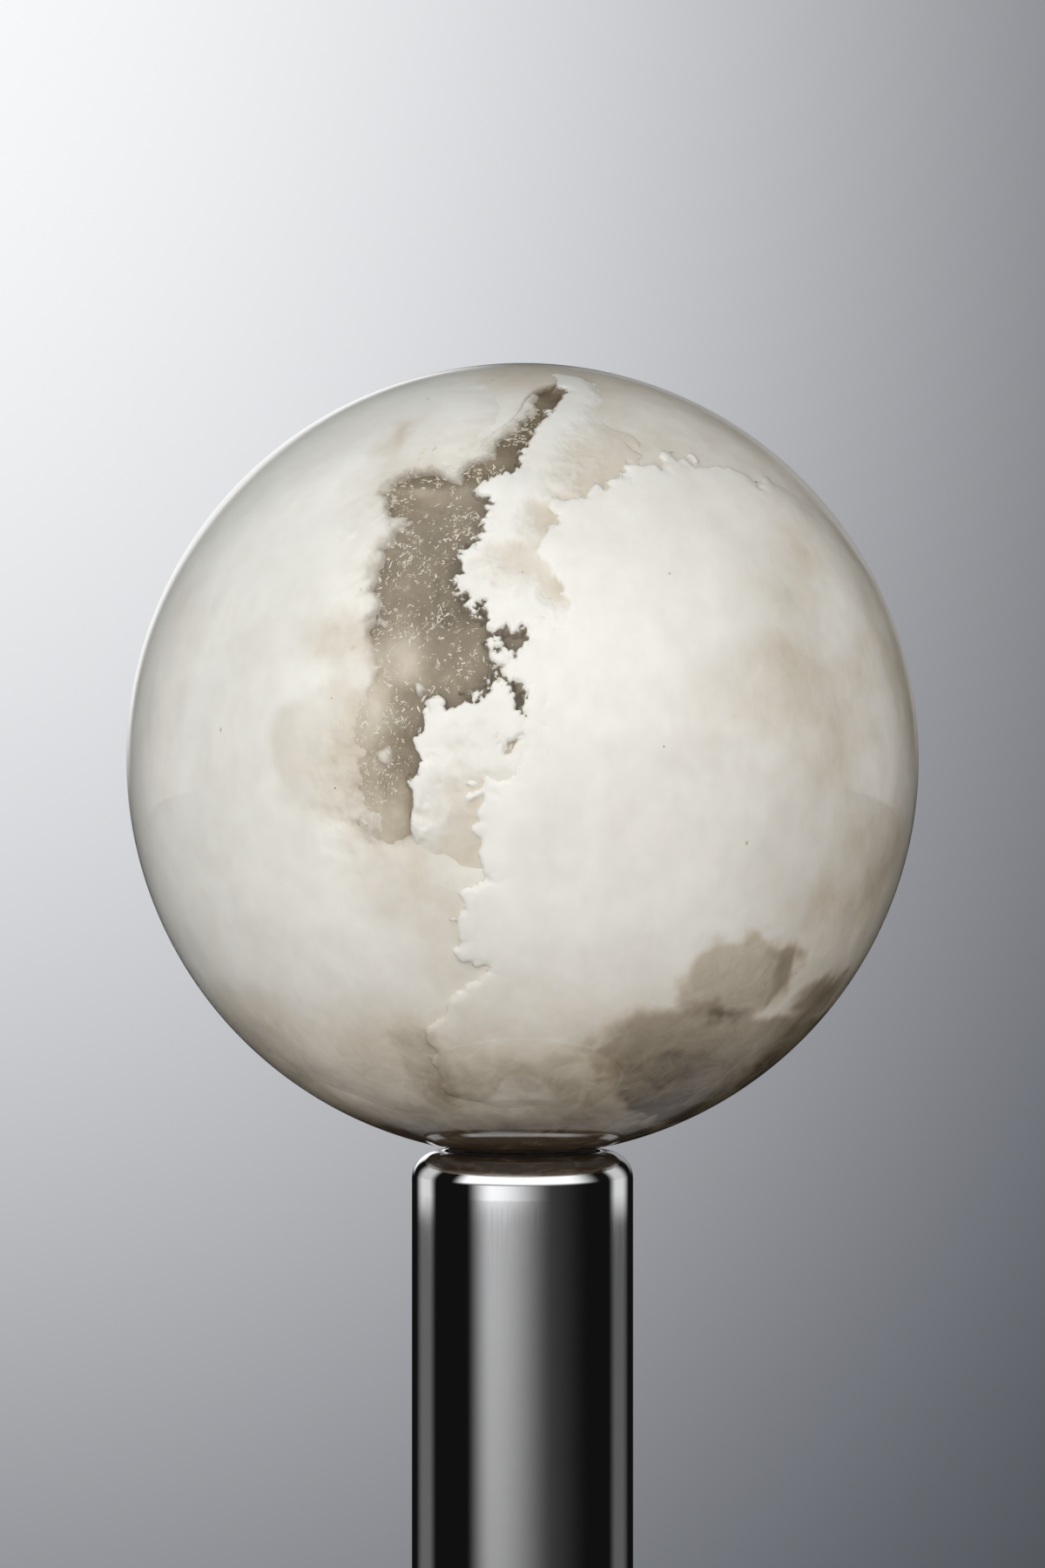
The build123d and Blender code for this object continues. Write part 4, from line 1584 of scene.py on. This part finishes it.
# ---------------------------------------------------------------- stand
@dataclass
class Stand:
    """The post, its seat and its base, as turned pieces with broken edges."""

    post_wall: float = 1.5 * MM
    shoulder: float = 3.5 * MM
    rim_bore: float = 9.6 * MM
    cover_wall: float = 1.5 * MM
    cover_edge: float = 3.5 * MM
    edge: float = 0.2 * MM
    screw_hole: float = 4.3 * MM

    def shell(self, name: str, node: str, wall: float, shoulder: float, hole: float) -> bpy.types.Object:
        """Makes a tube whose top is closed by a rounded shoulder and a flat with a hole in it.

        Args:
            name: the piece's name.
            node: the CAD node that gives its radius and height.
            wall: how thick it is.
            shoulder: the shoulder's outer radius.
            hole: the hole's radius.

        Returns:
            The piece.
        """
        low, high = span(node)
        radius, edge = high.x, self.edge
        corners = [(radius, low.z, edge), (radius, high.z, shoulder), (hole, high.z, edge),
                   (hole, high.z - wall, edge), (radius - wall, high.z - wall, shoulder - wall),
                   (radius - wall, low.z, edge)]
        return outward(turned(name, rounded(corners, steps=14), 256))

    def make_felt(self, shop: Workshop) -> None:
        """Makes the felt disc with a soft edge.

        Args:
            shop: the workshop that finishes it.
        """
        low, high = span("felt_pad")
        corners = [(0, high.z, 0), (high.x, high.z, 0.4 * MM), (high.x, low.z, 0.5 * MM), (0, low.z, 0)]
        piece = outward(turned("felt_pad_pressed", rounded(corners, closed=False), 192))
        shop.fit(piece, "stand", "black_felt", ("felt_pad",))

    def make(self, shop: Workshop) -> None:
        """Makes the drawn post, the spun cover of the base and the felt.

        Args:
            shop: the workshop that finishes them.
        """
        post = self.shell("post_shell_drawn", "post_shell", self.post_wall, self.shoulder, self.rim_bore)
        shop.fit(post, "stand", "polished_chrome", ("post_shell",))
        cover = self.shell("base_cover_spun", "base_cover", self.cover_wall, self.cover_edge,
                           self.screw_hole)
        shop.fit(cover, "stand", "polished_chrome", ("base_cover",))
        self.make_felt(shop)


@dataclass
class Seat:
    """The moulded seat that the globe's neck stands in."""

    bore: float = 6.2 * MM
    tube: float = 8.0 * MM
    flange: float = 9.4 * MM
    relief: float = 1.3 * MM
    edge: float = 0.25 * MM

    def make(self, shop: Workshop) -> None:
        """Makes the grommet: a tube with a flange whose top is dished like the ball.

        Args:
            shop: the workshop that finishes it.
        """
        low, high = span("seat_grommet")
        under = span("socket_insert")[1].z
        dish = GLOBE_RADIUS + 0.15 * MM
        inner = self.bore + self.relief
        rise = GLOBE_Z - math.sqrt(dish**2 - inner**2)
        outer = GLOBE_Z - math.sqrt(dish**2 - self.flange**2)
        corners = [(self.bore, low.z, self.edge), (self.tube, low.z, self.edge), (self.tube, under, 0),
                   (self.flange, under, 0.1 * MM), (self.flange, min(outer, high.z), self.edge),
                   (inner, rise, 0.1 * MM), (self.bore, rise - 1.7 * MM, 0.3 * MM)]
        piece = outward(turned("seat_grommet_moulded", rounded(corners), 192))
        shop.fit(piece, "seat", "seat_rubber", ("seat_grommet",))


# ---------------------------------------------------------------- studio
@dataclass(frozen=True)
class Panel:
    """A light panel on the sky: its limits and soft edges in degrees, and its brightness."""

    left: float
    left_edge: float
    right: float
    right_edge: float
    low: float
    low_edge: float
    high: float
    high_edge: float
    strength: float


@dataclass(frozen=True)
class Lamp:
    """A soft square lamp aimed at the globe, which no reflection shows."""

    name: str
    bearing: float  # from the front, in degrees
    elevation: float  # above the globe's centre, in degrees
    away: float  # from the globe's centre
    size: float
    power: float
    colour: tuple[float, float, float]

    def make(self) -> None:
        """Adds the lamp to the scene."""
        data = bpy.data.lights.new(self.name, "AREA")
        data.size, data.energy, data.color = self.size, self.power, self.colour
        lamp = bpy.data.objects.new(self.name, data)
        way = towards(self.bearing, self.elevation)
        lamp.location = Vector(CENTRE + way * self.away)
        lamp.rotation_euler = Vector(way).to_track_quat("Z", "Y").to_euler()
        lamp.visible_camera = False
        lamp.visible_glossy = False
        bpy.context.scene.collection.objects.link(lamp)


@dataclass
class Studio:
    """Camera, floor and light. The backdrop's falls are in tangents of angles off the front."""

    distance: float = 0.61
    lens: float = 110.7
    sensor: float = 36.0
    aim_below_centre: float = 3.1 * MM
    floor_radius: float = 0.25
    floor_colour: tuple[float, float, float, float] = (0.52, 0.52, 0.53, 1.0)
    fall_right: tuple[float, float] = (0.0451, 0.0662)  # middle and width of the fall to the right
    fall_down: tuple[float, float] = (-0.0784, -0.0854)  # middle and width of the fall towards the floor
    lamps: tuple[Lamp, ...] = (
        Lamp("key", -16, 12, 0.9, 0.9, 1.0, (1.0, 1.0, 1.0)),
        Lamp("front", 0, -14, 0.9, 0.9, 3.55, (1.0, 0.935, 0.87)),
        Lamp("fill_left", -85, 5, 1.0, 0.9, 1.8, (1.0, 1.0, 0.98)),
        Lamp("fill_right", 85, 0, 1.0, 0.9, 0.6, (1.0, 0.80, 0.62)),
        Lamp("rear", 180, 25, 1.0, 1.0, 3.0, (1.0, 0.99, 0.97)),
    )
    panels: tuple[Panel, ...] = (
        Panel(-32, 28, -30, 62, -60, 10, 2, 2, 0.18),
        Panel(-32, 28, -30, 62, -5, 9, 2, 2, 0.22),
        Panel(-32, 28, -30, 62, -4.8, 0.35, 2, 2, 0.62),
        Panel(-32, 28, 0, 75, -60, 10, 2, 2, 0.06),
        Panel(-60, 20, 50, 40, 10, 8, 80, 8, 1.15),
        Panel(-126, 20, -115, 14, -50, 10, 2, 2, 0.13),
        Panel(115, 14, 126, 20, -50, 10, 2, 2, 0.11),
        Panel(-126, 20, -115, 14, -4.85, 0.4, 50, 10, 0.6),
        Panel(115, 14, 126, 20, -4.85, 0.4, 50, 10, 0.6),
        Panel(-176, 4, -165, 9, 3, 5, 13, 9, 1.1),
        Panel(165, 9, 176, 4, 3, 5, 13, 9, 0.3),
    )

    def make_camera(self) -> None:
        """Makes the level camera, aimed a little below the globe's centre."""
        data = bpy.data.cameras.new("camera")
        data.lens, data.sensor_width = self.lens, self.sensor
        data.clip_start, data.clip_end = 0.01, 20
        camera = bpy.data.objects.new("camera", data)
        camera.location = (0, -self.distance, GLOBE_Z - self.aim_below_centre)
        camera.rotation_euler = (math.pi / 2, 0, 0)
        bpy.context.scene.collection.objects.link(camera)
        bpy.context.scene.camera = camera

    def make_floor(self, effects: Effects) -> None:
        """Makes the pale floor, a disc that fades out towards its rim.

        Args:
            effects: the shared node groups.
        """
        rows, columns = 24, 96
        radius = np.linspace(0.01, self.floor_radius, rows)
        angle = np.linspace(0, TURN, columns, endpoint=False)
        below = -0.02 * MM
        ring = np.stack([radius[:, None] * np.cos(angle), radius[:, None] * np.sin(angle),
                         np.full((rows, columns), below)], -1).reshape(-1, 3)
        first = np.arange(columns)
        fan = np.stack([first, np.roll(first, -1), np.full(columns, rows * columns)], -1)
        points = np.concatenate([ring, [[0, 0, below]]])
        floor = make_piece("studio_floor", points, grid_quads(rows, columns, wrap=True), fan)
        material, tree = new_material("studio_floor")
        place = tree.place()
        away = tree.add("VectorMath", {"operation": "LENGTH"}, _0=place).outputs["Value"]
        solid = tree.spread(away, self.floor_radius * 0.45, self.floor_radius * 0.98, 1.0, 0.0)
        grain = tree.group(effects.grain, Place=place, Size=6 * MM, Colour=self.floor_colour, Variation=0.04)
        pale = tree.add("BsdfDiffuse", None, Color=grain.outputs["Colour"])
        gone = tree.add("BsdfTransparent")
        both = tree.add("MixShader", None, _0=solid, _1=gone.outputs[0], _2=pale.outputs[0])
        tree.add("OutputMaterial", None, Surface=both.outputs[0])
        floor.data.materials.append(material)

    def backdrop(self, tree: Tree, bearing: bpy.types.NodeSocket,
                 elevation: bpy.types.NodeSocket) -> bpy.types.NodeSocket:
        """The plain backdrop: bright at the left and grey at the right behind the object, pale all round.

        Args:
            tree: the world's tree.
            bearing: the bearing that is looked along, in degrees.
            elevation: its elevation, in degrees.

        Returns:
            The backdrop's brightness.
        """
        def fall(angle: bpy.types.NodeSocket, middle: float, width: float) -> bpy.types.NodeSocket:
            """From 1 down to 0 about the middle: 1 / (1 + exp((tan(angle) - middle) / width)).

            Args:
                angle: the angle, in degrees.
                middle: the tangent at which the value is a half.
                width: how wide the fall is, as a tangent. Below 0 it rises instead.

            Returns:
                The value.
            """
            off = tree.math("SUBTRACT", tree.math("TANGENT", tree.math("RADIANS", angle)), middle)
            power = tree.math("EXPONENT", tree.math("DIVIDE", off, width))
            return tree.math("DIVIDE", 1.0, tree.math("ADD", 1.0, power))

        behind = tree.math("SUBTRACT", 180.0, tree.math("ABSOLUTE", bearing))
        side = fall(tree.math("MULTIPLY", behind, tree.math("SIGN", bearing)), *self.fall_right)
        height = fall(elevation, *self.fall_down)
        level = tree.math("MULTIPLY", tree.math("MULTIPLY_ADD", side, 0.97, 0.01),
                          tree.math("MULTIPLY_ADD", height, 1.061, 0.053))
        near = tree.math("MULTIPLY", tree.spread(behind, 9.0, 24.0, 1.0, 0.0),
                         tree.spread(tree.math("ABSOLUTE", elevation), 11.0, 26.0, 1.0, 0.0))
        general = tree.spread(elevation, -60.0, 50.0, 0.40, 0.62)
        return tree.math("ADD", tree.math("MULTIPLY", level, near),
                         tree.math("MULTIPLY", general, tree.math("SUBTRACT", 1.0, near)))

    def make_sky(self, effects: Effects) -> None:
        """Makes the surroundings: the backdrop that is seen, and the panels that light and are reflected.

        Args:
            effects: the shared node groups.
        """
        world = bpy.data.worlds.new("studio")
        bpy.context.scene.world = world
        world.use_nodes = True
        tree = Tree(world.node_tree)
        way = tree.add("SeparateXYZ", None, Vector=tree.add("TexCoord").outputs["Generated"])
        front = tree.math("MULTIPLY", way.outputs[1], -1.0)
        bearing = tree.math("DEGREES", tree.math("ARCTAN2", way.outputs[0], front))
        elevation = tree.math("DEGREES", tree.math("ARCSINE", way.outputs[2]))
        light: object = 0.006
        for panel in self.panels:
            mask = tree.group(effects.softbox, Bearing=bearing, Elevation=elevation, Left=panel.left,
                              Left_edge=panel.left_edge, Right=panel.right, Right_edge=panel.right_edge,
                              Low=panel.low, Low_edge=panel.low_edge, High=panel.high,
                              High_edge=panel.high_edge)
            light = tree.math("MULTIPLY_ADD", mask.outputs[0], panel.strength, light)
        seen = self.backdrop(tree, bearing, elevation)
        camera = tree.add("LightPath").outputs["Is Camera Ray"]
        strength = tree.math("ADD", tree.math("MULTIPLY", seen, camera),
                             tree.math("MULTIPLY", light, tree.math("SUBTRACT", 1.0, camera)))
        cool = tree.ramp(seen, BACKDROP_TINTS)
        colour = tree.mix(camera, (1, 1, 1, 1), cool)
        sky = tree.add("Background", None, Color=colour, Strength=strength)
        tree.add("OutputWorld", None, Surface=sky.outputs[0])

    def make(self, shop: Workshop) -> None:
        """Makes the camera, the floor, the sky and the lamps.

        Args:
            shop: the workshop whose effects the floor and the sky use.
        """
        self.make_camera()
        self.make_floor(shop.effects)
        self.make_sky(shop.effects)
        for lamp in self.lamps:
            lamp.make()
        scene = bpy.context.scene
        scene.view_settings.view_transform = "Standard"
        scene.cycles.transparent_max_bounces = 12


# ---------------------------------------------------------------- all of it
KEPT_NODES = {
    "neck_stopper": "stopper_plastic",
    "stopper_rings": "ring_rubber",
    "neck_seal": "seal_resin",
    "socket_insert": "turned_aluminium",
    "foot_plug": "turned_aluminium",
    "post_gasket": "gasket_rubber",
    "base_weight": "weight_iron",
    "clamp_screw": "zinc_steel",
    "flat_washer": "zinc_steel",
    "spring_washer": "spring_steel",
    "anti_turn_pin": "spring_steel",
}


def dress_kept_nodes(shop: Workshop) -> None:
    """Gives the CAD pieces that stay their finishes.

    Args:
        shop: the workshop that holds the finishes.
    """
    for node, finish in KEPT_NODES.items():
        shop.dress(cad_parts[node], (finish,))
        log.info("%s finished as %s", node, finish)


def main() -> None:
    """Builds the object and its studio, piece by piece."""
    logging.basicConfig(level=logging.INFO, format="%(name)s: %(message)s")
    shop = Workshop()
    Studio().make(shop)
    globe = Globe()
    globe.make_glass(shop)
    globe.make_liquid(shop)
    Crystals().make(shop)
    Seat().make(shop)
    Stand().make(shop)
    dress_kept_nodes(shop)


if __name__ == "__main__":
    main()
